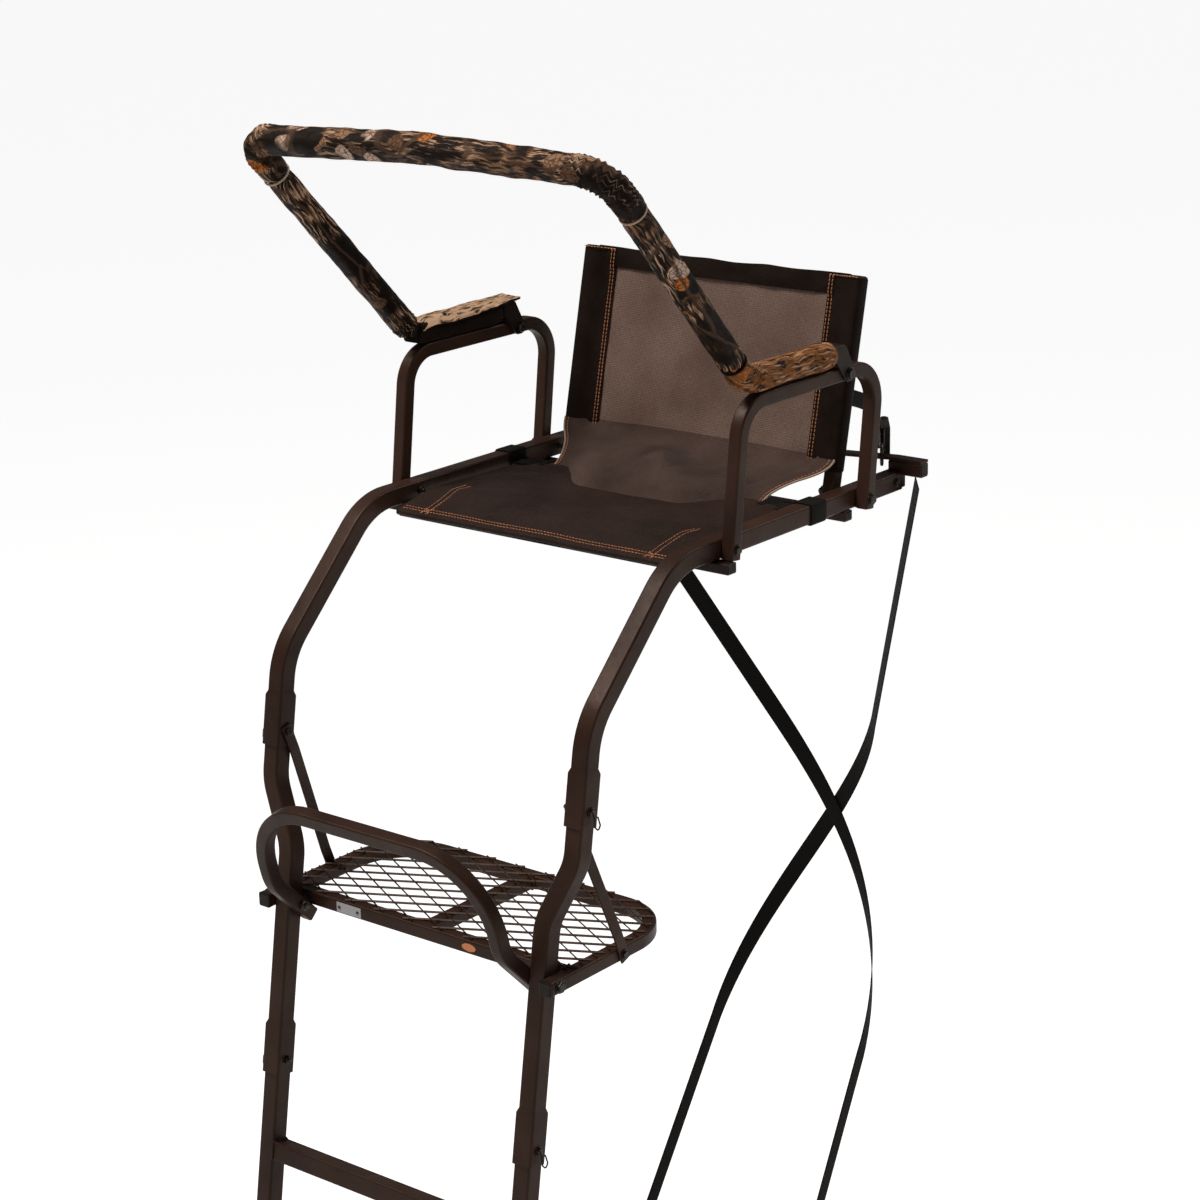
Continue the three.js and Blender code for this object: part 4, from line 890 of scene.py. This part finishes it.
for name, side in SIDES.items():
    arm_face = side * (ARM_HALF + LIGHT / 2 + GAP)
    rail_face = side * (SEAT_HALF - RAIL / 2 - GAP)
    rail_out = side * (SEAT_HALF + RAIL / 2 + GAP)
    post_face = side * (POST_HALF - LIGHT / 2 - GAP)
    bolt(f"back_pivot_bolt_{name}", POST_PIVOT_Y, SEAT_Z, arm_face, post_face, BOLT)
    bolt(f"arm_bolt_{name}", ARM_FRONT_Y + ARM_BOLT_RISE, SEAT_Z, arm_face, rail_face, PIN)
    bolt(f"brace_bolt_{name}", PRONG_BOLT_Y, SEAT_Z, rail_out, rail_face, PIN)
    for pin, half, station, stack in (
        ("seat_pin", SEAT_HALF, FIRST_SOCKET, BRACE_BAR_THICK + GAP),
        ("platform_pin", LADDER_HALF, SECOND_SOCKET, 0),
        ("ladder_pin", LADDER_HALF, THIRD_SOCKET, 0),
    ):
        at = on_ladder(0, station + PIN_DROP)
        outer, inner = side * (half + SOCKET / 2 + GAP), side * (half - SOCKET / 2 - GAP - stack)
        bolt(f"{pin}_{name}", at.y, at.z, outer, inner, PIN)
        clip(f"{pin}_clip_{name}", at.y, at.z, outer + side * (PIN * 1.2 + 0.8), side)
    tube_face = PLATFORM_HALF + LIGHT / 2
    bolt(f"platform_brace_bolt_{name}", BRACE_FOOT_Y, PLATFORM_Z,
         side * (tube_face + 2 * GAP + BRACE_BAR_THICK), side * (PLATFORM_HALF - LIGHT / 2 - GAP), PIN)
    bolt(f"footrest_bolt_{name}", FOOTREST_PIVOT_Y, PLATFORM_Z, side * (tube_face + GAP),
         side * (FOOTREST_HALF - LIGHT / 2 - GAP), BOLT)
    reach = LIGHT / 2 + 2 * GAP + LUG
    bolt(f"shooting_rail_bolt_{name}", REST_PIVOT_Y, ARM_TOP_Z, side * (ARM_HALF + reach),
         side * (ARM_HALF - reach), BOLT)


# ---------------------------------------------------------------- welds
BEAD_STEP, BEAD_RADIUS, BEAD_DROP, BEAD_WOBBLE, WELD_GAP = 2.2, 1.7, 0.45, 0.5, 0.2


def bead(skin, centre, axis, across, half_size):
    """A weld round the end of a square tube, laid down in overlapping drops."""
    outline = rounded(half_size + 0.4, half_size + 0.4, 3.2, 6)
    corners = placed(outline, centre, (axis, across, axis.cross(across)))
    path, _ = spaced(corners + corners[:1], BEAD_STEP)
    rings = []
    for i, (p, axes) in enumerate(zip(path[:-1], frames(path, axis))):
        size = BEAD_RADIUS + BEAD_DROP * math.cos(i * math.pi) + BEAD_WOBBLE * noise.noise(p * 0.2)
        rings.append(skin.ring(placed(circle(size, 6), p, axes)))
    skin.chain(rings + rings[:1])


welds = Skin()
for side in (-1, 1):
    for i in range(RUNGS):
        end = on_ladder(side * (RUNG_REACH + WELD_GAP), FIRST_RUNG + i * RUNG_PITCH)
        bead(welds, end, X * side, LADDER_BACK, RUNG / 2)
    bead(welds, v(side * (FRONT_BAR_HALF + WELD_GAP), FRONT_BAR_Y, PLATFORM_Z), X * side, Y, LIGHT / 2)
for y in (FRONT_BAR_Y + LIGHT / 2, PLATFORM_REAR_Y - LIGHT / 2):
    bead(welds, v(0, y, PLATFORM_Z), Y, X, LIGHT / 2)
welds.soft("weld_beads", "stand", "powder_coat", [STEEL])


# ---------------------------------------------------------------- cloth
def cloth(skin, point, us, vs, thick, under=0):
    """A closed sheet over a grid, half its thickness on each side of point(u, v)."""
    grid = [[point(u, w) for u in us] for w in vs]
    rows, columns = len(vs), len(us)
    first = len(skin.points)
    for sign in (1, -1):
        for i in range(rows):
            for j in range(columns):
                across = grid[i][min(j + 1, columns - 1)] - grid[i][max(j - 1, 0)]
                along = grid[min(i + 1, rows - 1)][j] - grid[max(i - 1, 0)][j]
                skin.points.append(grid[i][j] + across.cross(along).normalized() * (sign * thick / 2))
    u_at = distances(grid[rows // 2])
    v_at = distances([row[columns // 2] for row in grid])

    def face(corners, kind):
        skin.faces.append(tuple(first + layer * rows * columns + i * columns + j for layer, i, j in corners))
        skin.uvs.append([(u_at[j], v_at[i]) for _, i, j in corners])
        skin.kinds.append(kind)

    for layer in (0, 1):
        for i in range(rows - 1):
            for j in range(columns - 1):
                face([(layer, i, j), (layer, i, j + 1), (layer, i + 1, j + 1), (layer, i + 1, j)],
                     under if layer else 0)
    rim = [(0, j) for j in range(columns)] + [(i, columns - 1) for i in range(1, rows)]
    rim += [(rows - 1, j) for j in range(columns - 2, -1, -1)] + [(i, 0) for i in range(rows - 2, 0, -1)]
    for (i, j), (k, m) in zip(rim, rim[1:] + rim[:1]):
        face([(0, i, j), (0, k, m), (1, k, m), (1, i, j)], under)


def spread(low, high, count):
    return [low + (high - low) * k / (count - 1) for k in range(count)]


def clamped(t):
    return min(max(t, 0.0), 1.0)


def smooth(t):
    t = clamped(t)
    return t * t * (3 - 2 * t)


def bulge(t):
    """Nothing at 0 and at 1, and 1 halfway."""
    return math.sin(math.pi * t)


def along_curve(points, radius):
    """A rounded route as a function from distance to point, and its whole length."""
    run, lengths = spaced(bend(points, radius), 1.5)
    whole = lengths[-1]

    def at(distance):
        place = clamped(distance / whole) * (len(run) - 1)
        i = min(int(place), len(run) - 2)
        return run[i].lerp(run[i + 1], place - i)

    return at, whole


def stitches(skin, path, lift, length=3.8, gap=1.5, radius=0.62):
    """A row of sewn stitches, each a short rounded bar of thread, along a path lifted off its cloth."""
    points, _ = spaced([p + lift for p in path], length + gap)
    for a, b in zip(points, points[1:]):
        along = (b - a).normalized()
        side = along.cross(lift).normalized()
        axes = (along, side, along.cross(side))
        skin.loft([
            skin.ring(placed(rounded(radius * s, radius * s, radius * s * 0.6, 1), a.lerp(b, t), axes))
            for t, s in ((0.0, 0.5), (0.12, 1.0), (0.62, 1.0), (0.74, 0.5))
        ])


# ---------------------------------------------------------------- seat
SEAT_THICK, SEAM_X, HEM_ROLL, SEAT_TAPER = 2.6, 188, 13, 0.16
SEAT_SAG, SIDE_DROP, SEAM_DIP, CORNER_FOLD = 5.5, 5.0, 0.9, 1.6
SEAM_GAP, SEAM_END, CROSS_STITCH = 4, 112, 7
TAB_INNER, TAB_OUTER = SEAT_SLING_HALF * (1 - SEAT_TAPER) - 14, SEAT_HALF - RAIL / 2 - 1.2
CROSSBAR_FACE_Y = FRONT_CROSSBAR_Y - LIGHT / 2 - 1.2
hem_front = v(0, *SEAT_HEM)
seat_curve, seat_length = along_curve(
    [hem_front + v(0, 7, -4.5), hem_front + v(0, -1.5, -2.5), hem_front + v(0, 3, 1.8), v(0, *SEAT_CREST),
     v(0, *SEAT_CREASE)], [3, 3, 80])


def seat_point(x, distance):
    """The seat cloth: rolled over in front, hollow in the middle, narrower and rippled toward the back."""
    p = seat_curve(distance)
    back = smooth((distance - HEM_ROLL) / 90)
    inward = 1 - (x / SEAT_SLING_HALF) ** 2
    sag = SEAT_SAG * inward * bulge(clamped((distance - 60) / 215))
    side = SIDE_DROP * smooth((abs(x) - SEAM_X) / 46) * back
    seam = SEAM_DIP * math.exp(-((abs(x) - SEAM_X) / 3) ** 2) * smooth((distance - 8) / 20)
    ripple = 1.5 * noise.noise(v(x * 0.011, p.y * 0.03, 3.1))
    ripple += 0.6 * noise.noise(v(x * 0.03, p.y * 0.012, 7.7))
    corner = CORNER_FOLD * math.sin((p.y + abs(x) * 0.75) * 0.11) * smooth((abs(x) - 90) / 100) * back
    edge = 1.3 * noise.noise(v(x * 0.016, 1.3, 0)) * (1 - back)
    narrowed = 1 - SEAT_TAPER * smooth((p.y - SEAT_CREST[1] - 45) / 100)
    waves = (ripple + corner) * back * inward ** 0.3 + edge * 0.6
    return p + v(x * narrowed, edge, -sag - side - seam + waves)


def hem_under_point(x, t):
    y = hem_front.y + 4 + t * (CROSSBAR_FACE_Y - hem_front.y - 4)
    return v(x, y, hem_front.z - 5.2 - 1.5 * bulge(t))


seat_skin = Skin()
cloth(seat_skin, seat_point, spread(-SEAT_SLING_HALF, SEAT_SLING_HALF, 105), spread(0, seat_length, 90),
      SEAT_THICK)
seat = seat_skin.soft("seat_cloth_panel", "stand", "seat_fabric", [SEAT], ("seat_sling",))
under_skin = Skin()
cloth(under_skin, hem_under_point, spread(3 - SEAT_SLING_HALF, SEAT_SLING_HALF - 3, 40),
      spread(0, 1, 10), 1.8)
under = under_skin.soft("seat_hem_underside", "stand", "seat_fabric", [BINDING])

seat_thread = Skin()
off_hem, off_seat = v(0, -0.5, SEAT_THICK / 2 + 0.2), v(0, 0, SEAT_THICK / 2 + 0.25)
for at in (HEM_ROLL + 4, HEM_ROLL + 10):
    seam = [seat_point(x, at) for x in spread(6 - SEAT_SLING_HALF, SEAT_SLING_HALF - 6, 120)]
    stitches(seat_thread, seam, off_hem)
for side in (-1, 1):
    for x in (SEAM_X - SEAM_GAP, SEAM_X + SEAM_GAP):
        seam = [seat_point(side * (x + 5 * smooth((at - 40) / 60)), at)
                for at in spread(HEM_ROLL - 2, SEAM_END, 40)]
        stitches(seat_thread, seam, off_seat)
    across_seam = spread(SEAM_X - CROSS_STITCH, SEAM_X + CROSS_STITCH, 6)
    for near, far in ((HEM_ROLL, 2 * HEM_ROLL), (2 * HEM_ROLL, HEM_ROLL)):
        cross = [seat_point(side * x, at) for x, at in zip(across_seam, spread(near, far, 6))]
        stitches(seat_thread, cross, off_seat)
seat_threads = seat_thread.soft("seat_stitching", "stand", "seat_fabric", [THREAD])


def tab_point(x, y):
    """A tab that joins the cloth to its loop round a seat rail."""
    drop = 4 * smooth((abs(x) - TAB_INNER) / 20)
    return v(x, y, SEAT_CREASE[1] + 1.6 - drop + 0.8 * math.sin(y * 0.3))


loops = Skin()
loop_width = RAIL + 0.8 + 2 * SEAT_LOOP_THICK
for side in (-1, 1):
    loop_route = [v(side * SEAT_HALF, SEAT_LOOP_Y + t * SEAT_LOOP_LENGTH / 2, SEAT_Z)
                  for t in (-1, -0.9, 0.9, 1)]
    sweep_tube(loops, loop_route, [loop_width - 1, loop_width, loop_width, loop_width - 1],
               wall=SEAT_LOOP_THICK - 0.6, corner=4)
    cloth(loops, tab_point, spread(side * TAB_INNER, side * TAB_OUTER, 12),
          spread(SEAT_LOOP_Y - SEAT_LOOP_LENGTH / 2, SEAT_LOOP_Y + SEAT_LOOP_LENGTH / 2, 10), 2.2)
rail_loops = loops.soft("seat_rail_loops", "stand", "webbing", [WEBBING])

# ---------------------------------------------------------------- back
BACK_FORWARD = v(0, -math.cos(POST_LEAN), math.sin(POST_LEAN))
BACK_PIVOT = v(0, POST_PIVOT_Y, SEAT_Z)
SLEEVE_HALF, BAND_X, SLING_FROM = LIGHT / 2 + 1.9, 178, 27
BACK_TOP, HEM_HEIGHT, FLOW_FROM = POST_TOP + 1.5, 28, 46
MESH_TOP, MESH_HALF, HEM_HALF = BACK_TOP - HEM_HEIGHT + 4, BAND_X + 8, 212
LOWER_HALF, LOWER_FOOT, LOWER_TAPER, SIDE_SHORTER = 230, 177, 0.23, 0.36
FOLD_DIAGONAL, FOLD_CROSS, FOLD_TENT, FOLD_TUCK = 14, 3.6, 20, 12


def on_back(x, s, forward):
    """A place by the folding back: x across, s up the posts from their pivot, and so far forward of them."""
    return BACK_PIVOT + POST_UP * s + BACK_FORWARD * forward + X * x


def panel(x, s):
    """The mesh between the posts: tight, a little hollow, with upright ripples under the hem."""
    hollow = -4.5 * (1 - (x / BAND_X) ** 2) * bulge(clamped((s - 20) / 270))
    ripple = 0.9 * noise.noise(v(x * 0.035, s * 0.008, 1.0)) * smooth((s - 150) / 100)
    broad = 1.3 * noise.noise(v(x * 0.012, s * 0.014, 5.0))
    return on_back(x, s, hollow + ripple + broad)


flow_start = on_back(0, FLOW_FROM, 0)
flow_curve, flow_length = along_curve(
    [flow_start, on_back(0, 20, 4), v(0, -206, -14), v(0, -238, -36)], [46, 26])


def lower_panel(x, t):
    """The loose part below: from the posts' feet forward to the crease on the seat, in soft folds. It is as
    wide as the posts at its top, narrows toward the seat, and its side edges meet the seat further back."""
    p, top, foot = flow_curve(flow_length * t), flow_curve(0), flow_curve(flow_length)
    outer = smooth((abs(x) - 95) / 125)
    p.y = top.y + (p.y - top.y) * (1 - SIDE_SHORTER * outer)
    p.z += (top.z + (foot.z - top.z) * t - p.z) * 0.8 * outer
    joined = 1 - smooth(t / 0.25)
    start = panel(min(max(x, -BAND_X), BAND_X), FLOW_FROM)
    p += v(0, start.y - flow_start.y, start.z - flow_start.z) * joined
    over_post = 13.5 * smooth((abs(x) - 192) / 16) * (1 - smooth(t / 0.5))
    diagonal = abs(noise.noise(v(x * 0.011 + t * 1.5, x * 0.004 - t * 1.1, 2.2))) ** 0.8
    cross = noise.noise(v(x * 0.006, t * 4.5, 9.4))
    tent = max(0.0, 1 - abs(x + 75 - 150 * t) / 105) * bulge(t)
    tuck = max(0.0, 1 - abs(x - 60 + 40 * t) / 60) * bulge(t)
    folds = FOLD_DIAGONAL * diagonal + FOLD_CROSS * cross + FOLD_TENT * tent - FOLD_TUCK * tuck
    free = bulge(smooth(t)) ** 0.8 * (1 - 0.6 * outer)
    return p + v(x * (1 - LOWER_TAPER * smooth(t / 0.85)), -over_post, folds * free)


mesh_skin = Skin()
cloth(mesh_skin, panel, spread(-MESH_HALF, MESH_HALF, 90), spread(FLOW_FROM, MESH_TOP, 60), 1.2)
back = mesh_skin.soft("back_mesh_panel", "backrest", "mesh_fabric", [MESH], ("back_sling",))
# The lower panel is in the darker mesh copy, as painted shade.
lower_skin = Skin()
cloth(lower_skin, lower_panel, spread(-LOWER_HALF, LOWER_HALF, 110), spread(0, 1, 54), 1.4)
lower = lower_skin.soft("back_lower_panel", None, "mesh_fabric", [LOW_MESH_PAINTED_SHADE])

edge_thread, edge_cord = Skin(), Skin()
for side in (-1, 1):
    seam = [lower_panel(side * (LOWER_HALF - 6), t) for t in spread(0.02, 0.9, 60)]
    stitches(edge_thread, seam, v(0, -0.6, 0.8))
    sweep_wire(edge_cord, [lower_panel(side * LOWER_HALF, t) for t in spread(0.0, 1.0, 60)], 1.5, 8)
lower_thread = edge_thread.soft("back_lower_stitching", None, "mesh_fabric", [THREAD])
lower_cord = edge_cord.soft("back_lower_piping", None, "mesh_fabric", [PIPING], sharp=75)


def hem_point(x, t):
    """The hem along the back's top, with an uneven upper edge."""
    height = HEM_HEIGHT + 1.6 * noise.noise(v(x * 0.02, 0, 8.8)) - 1.5 * (1 - abs(x) / HEM_HALF)
    forward = 1.2 + 1.3 * noise.noise(v(x * 0.03, t * 1.5, 6.1)) + 1.2 * bulge(t)
    return on_back(x, BACK_TOP - HEM_HEIGHT + t * height, forward)


def sleeve_outline(side, s):
    """A sleeve round the post, with a flat band that runs in over the edge of the mesh."""
    slack = 1.1 * noise.noise(v(side * 5.0, s * 0.02, 0.7))
    flare = 1.5 * smooth((SLING_FROM + 22 - s) / 22)
    half, inner, outer = SLEEVE_HALF, POST_HALF - SLEEVE_HALF, POST_HALF + SLEEVE_HALF
    points = [(inner, -half + 2), (inner + 3, -half), (outer - 3, -half), (outer, -half + 3),
              (outer + flare, half - 4), (outer - 3.5, half + slack * 0.3), (POST_HALF, half + 0.4 + slack),
              (inner + 2, half - 0.6 + slack), (inner - 7, 6.8 + slack), (inner - 16, 3.4), (inner - 25, 2.4),
              (BAND_X + 1, 2.2), (BAND_X, 1.4), (BAND_X + 1, 0.8), (inner - 24, 0.6), (inner - 14, 0.2),
              (inner - 4, -0.6)]
    return [on_back(side * x, s, forward) for x, forward in points]


hem_skin = Skin()
cloth(hem_skin, hem_point, spread(-HEM_HALF, HEM_HALF, 90), spread(0, 1, 12), 3.4)
hem = hem_skin.soft("back_top_hem", "backrest", "mesh_fabric", [BINDING])
sleeves, back_thread = Skin(), Skin()
for side in (-1, 1):
    sleeves.loft([sleeves.ring(sleeve_outline(side, s), s) for s in spread(SLING_FROM - 2, BACK_TOP, 48)])
    for x in (BAND_X + 4, BAND_X + 9):
        seam = [on_back(side * x, s, 2.6 + 2.9 * smooth((s - MESH_TOP + 8) / 5))
                for s in spread(SLING_FROM + 6, BACK_TOP - 2, 80)]
        stitches(back_thread, seam, BACK_FORWARD * 0.3)
    seam = [on_back(side * x, BACK_TOP - 3, 5.5 + 7.1 * smooth((x - 196) / 18))
            for x in spread(BAND_X + 3, 232, 20)]
    stitches(back_thread, seam, BACK_FORWARD * 0.5)
    for x, inward in ((BAND_X + 2, 4), (BAND_X + 11, -4)):
        tack = [on_back(side * (x + inward * k), SLING_FROM + 4 + 8 * k, 2.8) for k in (0, 0.5, 1)]
        stitches(back_thread, tack, BACK_FORWARD * 0.4)
sleeve_piece = sleeves.soft("back_post_sleeves", "backrest", "mesh_fabric", [BINDING], sharp=75)
smoothed = sleeve_piece.modifiers.new("rounded", "SUBSURF")
smoothed.levels = smoothed.render_levels = 1
thread_piece = back_thread.soft("back_stitching", "backrest", "mesh_fabric", [THREAD])
for soft in (lower, lower_thread, lower_cord):
    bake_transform(soft)

# ---------------------------------------------------------------- camouflage pads
PAD_SIDES, FOAM_DROP = 36, 3.75
pad_run, pad_lengths = spaced(rest_route(REST_PAD_TAIL), 3.2)
pad_axes = frames(pad_run, X)
PAD_LENGTH = pad_lengths[-1]
ARM_STRETCH = abs(REST_BEND_Y - REST_PIVOT_Y) - REST_PAD_TAIL + 4
LEFT_ARM = PAD_LENGTH - ARM_STRETCH
TOP_COVER = 0.5 * PAD_LENGTH - REST_FRONT[0] - 52
TUCK_IN = 0.72


def pad_ring(i, to_end, radius, seed):
    """The cover at one place of the rail: slack, creased where the rail bends, and drawn in near its end."""
    p, (_, across, other) = pad_run[i], pad_axes[i]
    s = pad_lengths[i]
    turn = pad_axes[i - 4][0].angle(pad_axes[i + 4][0]) if 4 <= i < len(pad_run) - 4 else 0.0
    points = []
    for k in range(PAD_SIDES):
        a = 2 * math.pi * k / PAD_SIDES
        way = across * math.cos(a) + other * math.sin(a)
        spot = p + way * radius
        swell = 1.1 * noise.noise(spot * 0.02 + v(seed, 0, 0))
        swell += 0.9 * noise.noise(spot * 0.055 + v(0, seed, 0))
        crease = 1.5 * math.sin(s * 0.85 + 3 * noise.noise(spot * 0.03)) * min(turn * 2.2, 1)
        fold = 1.1 * abs(noise.noise(v(a * 0.9 + seed, s * 0.012, seed)))
        fold += 0.8 * noise.noise(v(math.cos(a) * 2.2, math.sin(a) * 2.2, s * 0.03 + seed))
        corner = -0.9 * math.cos(4 * a)
        drawn = 3.2 * math.exp(-to_end / 5) + 0.9 * math.exp(-to_end / 16) * math.sin(a * 9 + seed)
        points.append(p + way * (radius + corner + swell + crease - fold - drawn))
    return points


def pad_cover(name, low, high, inset, seed, material=CAMO):
    """A padded sleeve over one stretch of the rail, with its ends tucked in."""
    skin = Skin()
    rings = []
    chosen = [i for i, s in enumerate(pad_lengths) if low <= s <= high]
    for i in chosen:
        s = pad_lengths[i]
        points = pad_ring(i, min(s - low, high - s), PAD / 2 - inset, seed)
        rings.append(skin.ring(points, s))
        if i in (chosen[0], chosen[-1]):
            tucked = skin.ring([pad_run[i] + (q - pad_run[i]) * TUCK_IN for q in points], s)
            rings.insert(0 if i == chosen[0] else len(rings), tucked)
    skin.loft(rings)
    piece = skin.soft(name, "shooting_rail", "camo_fabric", [material], sharp=75)
    return piece


def piping(name, at, inset, thick, material):
    """A cord round the rail's cover, a little wider along the rail than it is thick."""
    skin = Skin()
    i = min(range(len(pad_lengths)), key=lambda k: abs(pad_lengths[k] - at))
    along = pad_axes[i][0]
    rings = []
    for p in placed(circle(PAD / 2 - inset, 40), pad_run[i], pad_axes[i]):
        out = (p - pad_run[i]).normalized()
        rings.append(skin.ring(placed(circle(thick, 8), p, (None, out, along * 1.3))))
    skin.chain(rings + rings[:1])
    skin.soft(name, "shooting_rail", "camo_fabric", [material], sharp=75)


front_pad = pad_cover("pad_front", TOP_COVER, PAD_LENGTH - TOP_COVER, 0.6, 3.3)
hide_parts("shooting_rail_pad")
pad_cover("pad_side_right", ARM_STRETCH, TOP_COVER - 1, 1.6, 8.1)
pad_cover("pad_side_left", PAD_LENGTH - TOP_COVER + 1, LEFT_ARM - 30, 1.6, 5.7)
pad_cover("pad_arm_left", LEFT_ARM - 28, PAD_LENGTH + 1, 1.2, 1.9, WORN_CAMO)
piping("pad_piping_right", TOP_COVER, 1.2, 1.3, PIPING)
piping("pad_piping_left", PAD_LENGTH - TOP_COVER, 1.6, 1.2, PIPING)
piping("pad_seam_left", LEFT_ARM - 29, 2.2, 1.5, BINDING)
piping("pad_open_end_left", PAD_LENGTH, 4.4, 2.2, WORN_CAMO)

foam = Skin()
foam_rings = []
for s, p, axes in zip(pad_lengths, pad_run, pad_axes):
    if s <= ARM_STRETCH - 8:
        half = PAD / 2 - 1.2 - 3 * math.exp(-s / 6)
        lump = 0.8 * noise.noise(v(s * 0.04, 2.2, 0))
        outline = rounded(half - 2.5 + lump, half - FOAM_DROP, 7, 5)
        foam_rings.append(foam.ring(placed(outline, p - Z * FOAM_DROP, axes), s))
foam.loft(foam_rings)
foam.soft("pad_arm_right_foam", "shooting_rail", "camo_fabric", [BINDING])

# The right-hand arm's cover is unwrapped: a flap that lies over the rail and lifts at its tail.
FLAP_FRONT, FLAP_REAR = REST_BEND_Y + 8, -132


def flap_point(across, t):
    width = 16 + 6 * smooth(t / 0.3) - 7 * smooth((t - 0.8) / 0.2)
    lift = 4.5 - 5 * smooth(1 - t / 0.12) + 2.5 * smooth((t - 0.86) / 0.14)
    wrinkle = 1.3 * noise.noise(v(across * 2.0, t * 5, 3.0)) + 0.9 * noise.noise(v(across * 4.0, t * 14, 1.0))
    droop = (-9 if across > 0 else -3) * across * across * (1 - 0.75 * smooth((t - 0.3) / 0.6))
    notch = 6 * noise.noise(v(across * 1.7, 6.5, 0)) * smooth((t - 0.9) / 0.1)
    point = 7 * smooth((across + 0.2) / 1.2) * smooth((t - 0.88) / 0.12)
    return v(-ARM_HALF + across * width + 0.5 * point,
             FLAP_FRONT + (FLAP_REAR - FLAP_FRONT) * t + notch + point,
             REST_Z + REST_TUBE / 2 + lift + wrinkle + droop - 1)


flap_skin = Skin()
cloth(flap_skin, flap_point, spread(-1, 1, 24), spread(0, 1, 70), 3.6, under=1)
# The flap's top is paler camouflage: painted light from above.
flap = flap_skin.soft("pad_arm_right_flap", "shooting_rail", "camo_fabric", [PAINTED_LIGHT_CAMO, BINDING])

# ---------------------------------------------------------------- tie strap's hooks and ratchet
HOOK_WIRE = 2.35
hook_bends = [(-13, -1), (-10, -9), (0, -9), (0, TIE_Z), (TIE_HOOK_REACH - 5, TIE_Z)]
for name, side in SIDES.items():
    corners = [v(side * (hook_at + tie_along * along).x, (hook_at + tie_along * along).y, z)
               for along, z in hook_bends]
    hook = Skin()
    sweep_wire(hook, bend(corners, [4, 4.5, 8], 9), HOOK_WIRE, 12)
    hook.soft(f"tie_hook_wire_{name}", "stand", "fasteners", [ZINC], (f"tie_hook_{name}",))
dress("ratchet_frame", ZINC, 0.6)
dress("ratchet_lever", BLACK_STEEL_AND_PAINTED_SHADE, 0.6)

axle = hook_at + tie_along * (TIE_RATCHET_AT + 8) + tie_facing[0] * 7
axle.z = TIE_Z - STRAP_WIDTH / 2
wound = Skin()
turned(wound, axle, Z, tie_along,
       [(0, 4.5), (0.3, 6.6), (STRAP_WIDTH / 2, 7.0), (STRAP_WIDTH - 0.3, 6.6), (STRAP_WIDTH, 4.5)], 28)
wound.soft("ratchet_wound_strap", "stand", "webbing", [WEBBING])

# ---------------------------------------------------------------- floor and light
# The lamps light the object and the floor round it. Further out the floor glows more and more, so that it
# meets the white of the world.
FLOOR_HALF, FLOOR_Z, AMBIENT = 60, -3.0888, 0.15
GLOW = {"From Min": -FLOOR_Z, "From Max": 5.4, "To Min": 0.10, "To Max": 0.80}
WHITE = (1, 1, 1, 1)

floor_mesh = bpy.data.meshes.new("floor")
floor_corners = [(FLOOR_HALF * x, FLOOR_HALF * y, FLOOR_Z) for x, y in ((-1, -1), (1, -1), (1, 1), (-1, 1))]
floor_mesh.from_pydata(floor_corners, [], [(0, 1, 2, 3)])
floor = bpy.data.objects.new("floor", floor_mesh)
bpy.context.scene.collection.objects.link(floor)
floor_paint = Paint("pale_floor", 0.9, Specular_IOR_Level=0.1, Base_Color=(0.93, 0.93, 0.93, 1),
                    Emission_Color=WHITE)
outward = floor_paint.node("ShaderNodeVectorMath", {0: floor_paint.place}, operation="LENGTH")
glow = floor_paint.node("ShaderNodeMapRange", {"Value": outward.outputs["Value"], **GLOW},
                        interpolation_type="SMOOTHSTEP")
floor_paint.feed(floor_paint.shader.inputs["Emission Strength"], glow.outputs["Result"])
floor_mesh.materials.append(floor_paint.material)


def area_light(name, place, target, size, power, colour):
    light = bpy.data.lights.new(name, "AREA")
    light.shape = "RECTANGLE"
    light.size = light.size_y = size
    light.energy = power
    light.color = colour
    lamp = bpy.data.objects.new(name, light)
    bpy.context.scene.collection.objects.link(lamp)
    lamp.location = place
    lamp.rotation_euler = (Vector(target) - Vector(place)).to_track_quat("-Z", "Y").to_euler()


area_light("key", (-1.7, -1.9, 4.3), (0, -0.4, -0.2), 2.0, 335, (1.0, 0.96, 0.92))
area_light("fill", (3.4, -2.6, 0.6), (0, -0.4, -0.3), 2.4, 14, (1.0, 0.98, 0.96))
area_light("rim", (1.8, 2.6, 2.8), (0, -0.3, 0.0), 1.6, 70, (1.0, 1.0, 1.0))

# The world is white to the camera, and gives the object only a little of its light.
world = bpy.data.worlds.new("studio")
bpy.context.scene.world = world
world.use_nodes = True
surroundings = world.node_tree.nodes["Background"]
surroundings.inputs["Color"].default_value = WHITE
rays = world.node_tree.nodes.new("ShaderNodeLightPath")
level = world.node_tree.nodes.new("ShaderNodeMapRange")
level.inputs["To Min"].default_value = AMBIENT
level.inputs["To Max"].default_value = 1.0
world.node_tree.links.new(rays.outputs["Is Camera Ray"], level.inputs["Value"])
world.node_tree.links.new(level.outputs["Result"], surroundings.inputs["Strength"])
bpy.context.scene.view_settings.view_transform = "Standard"
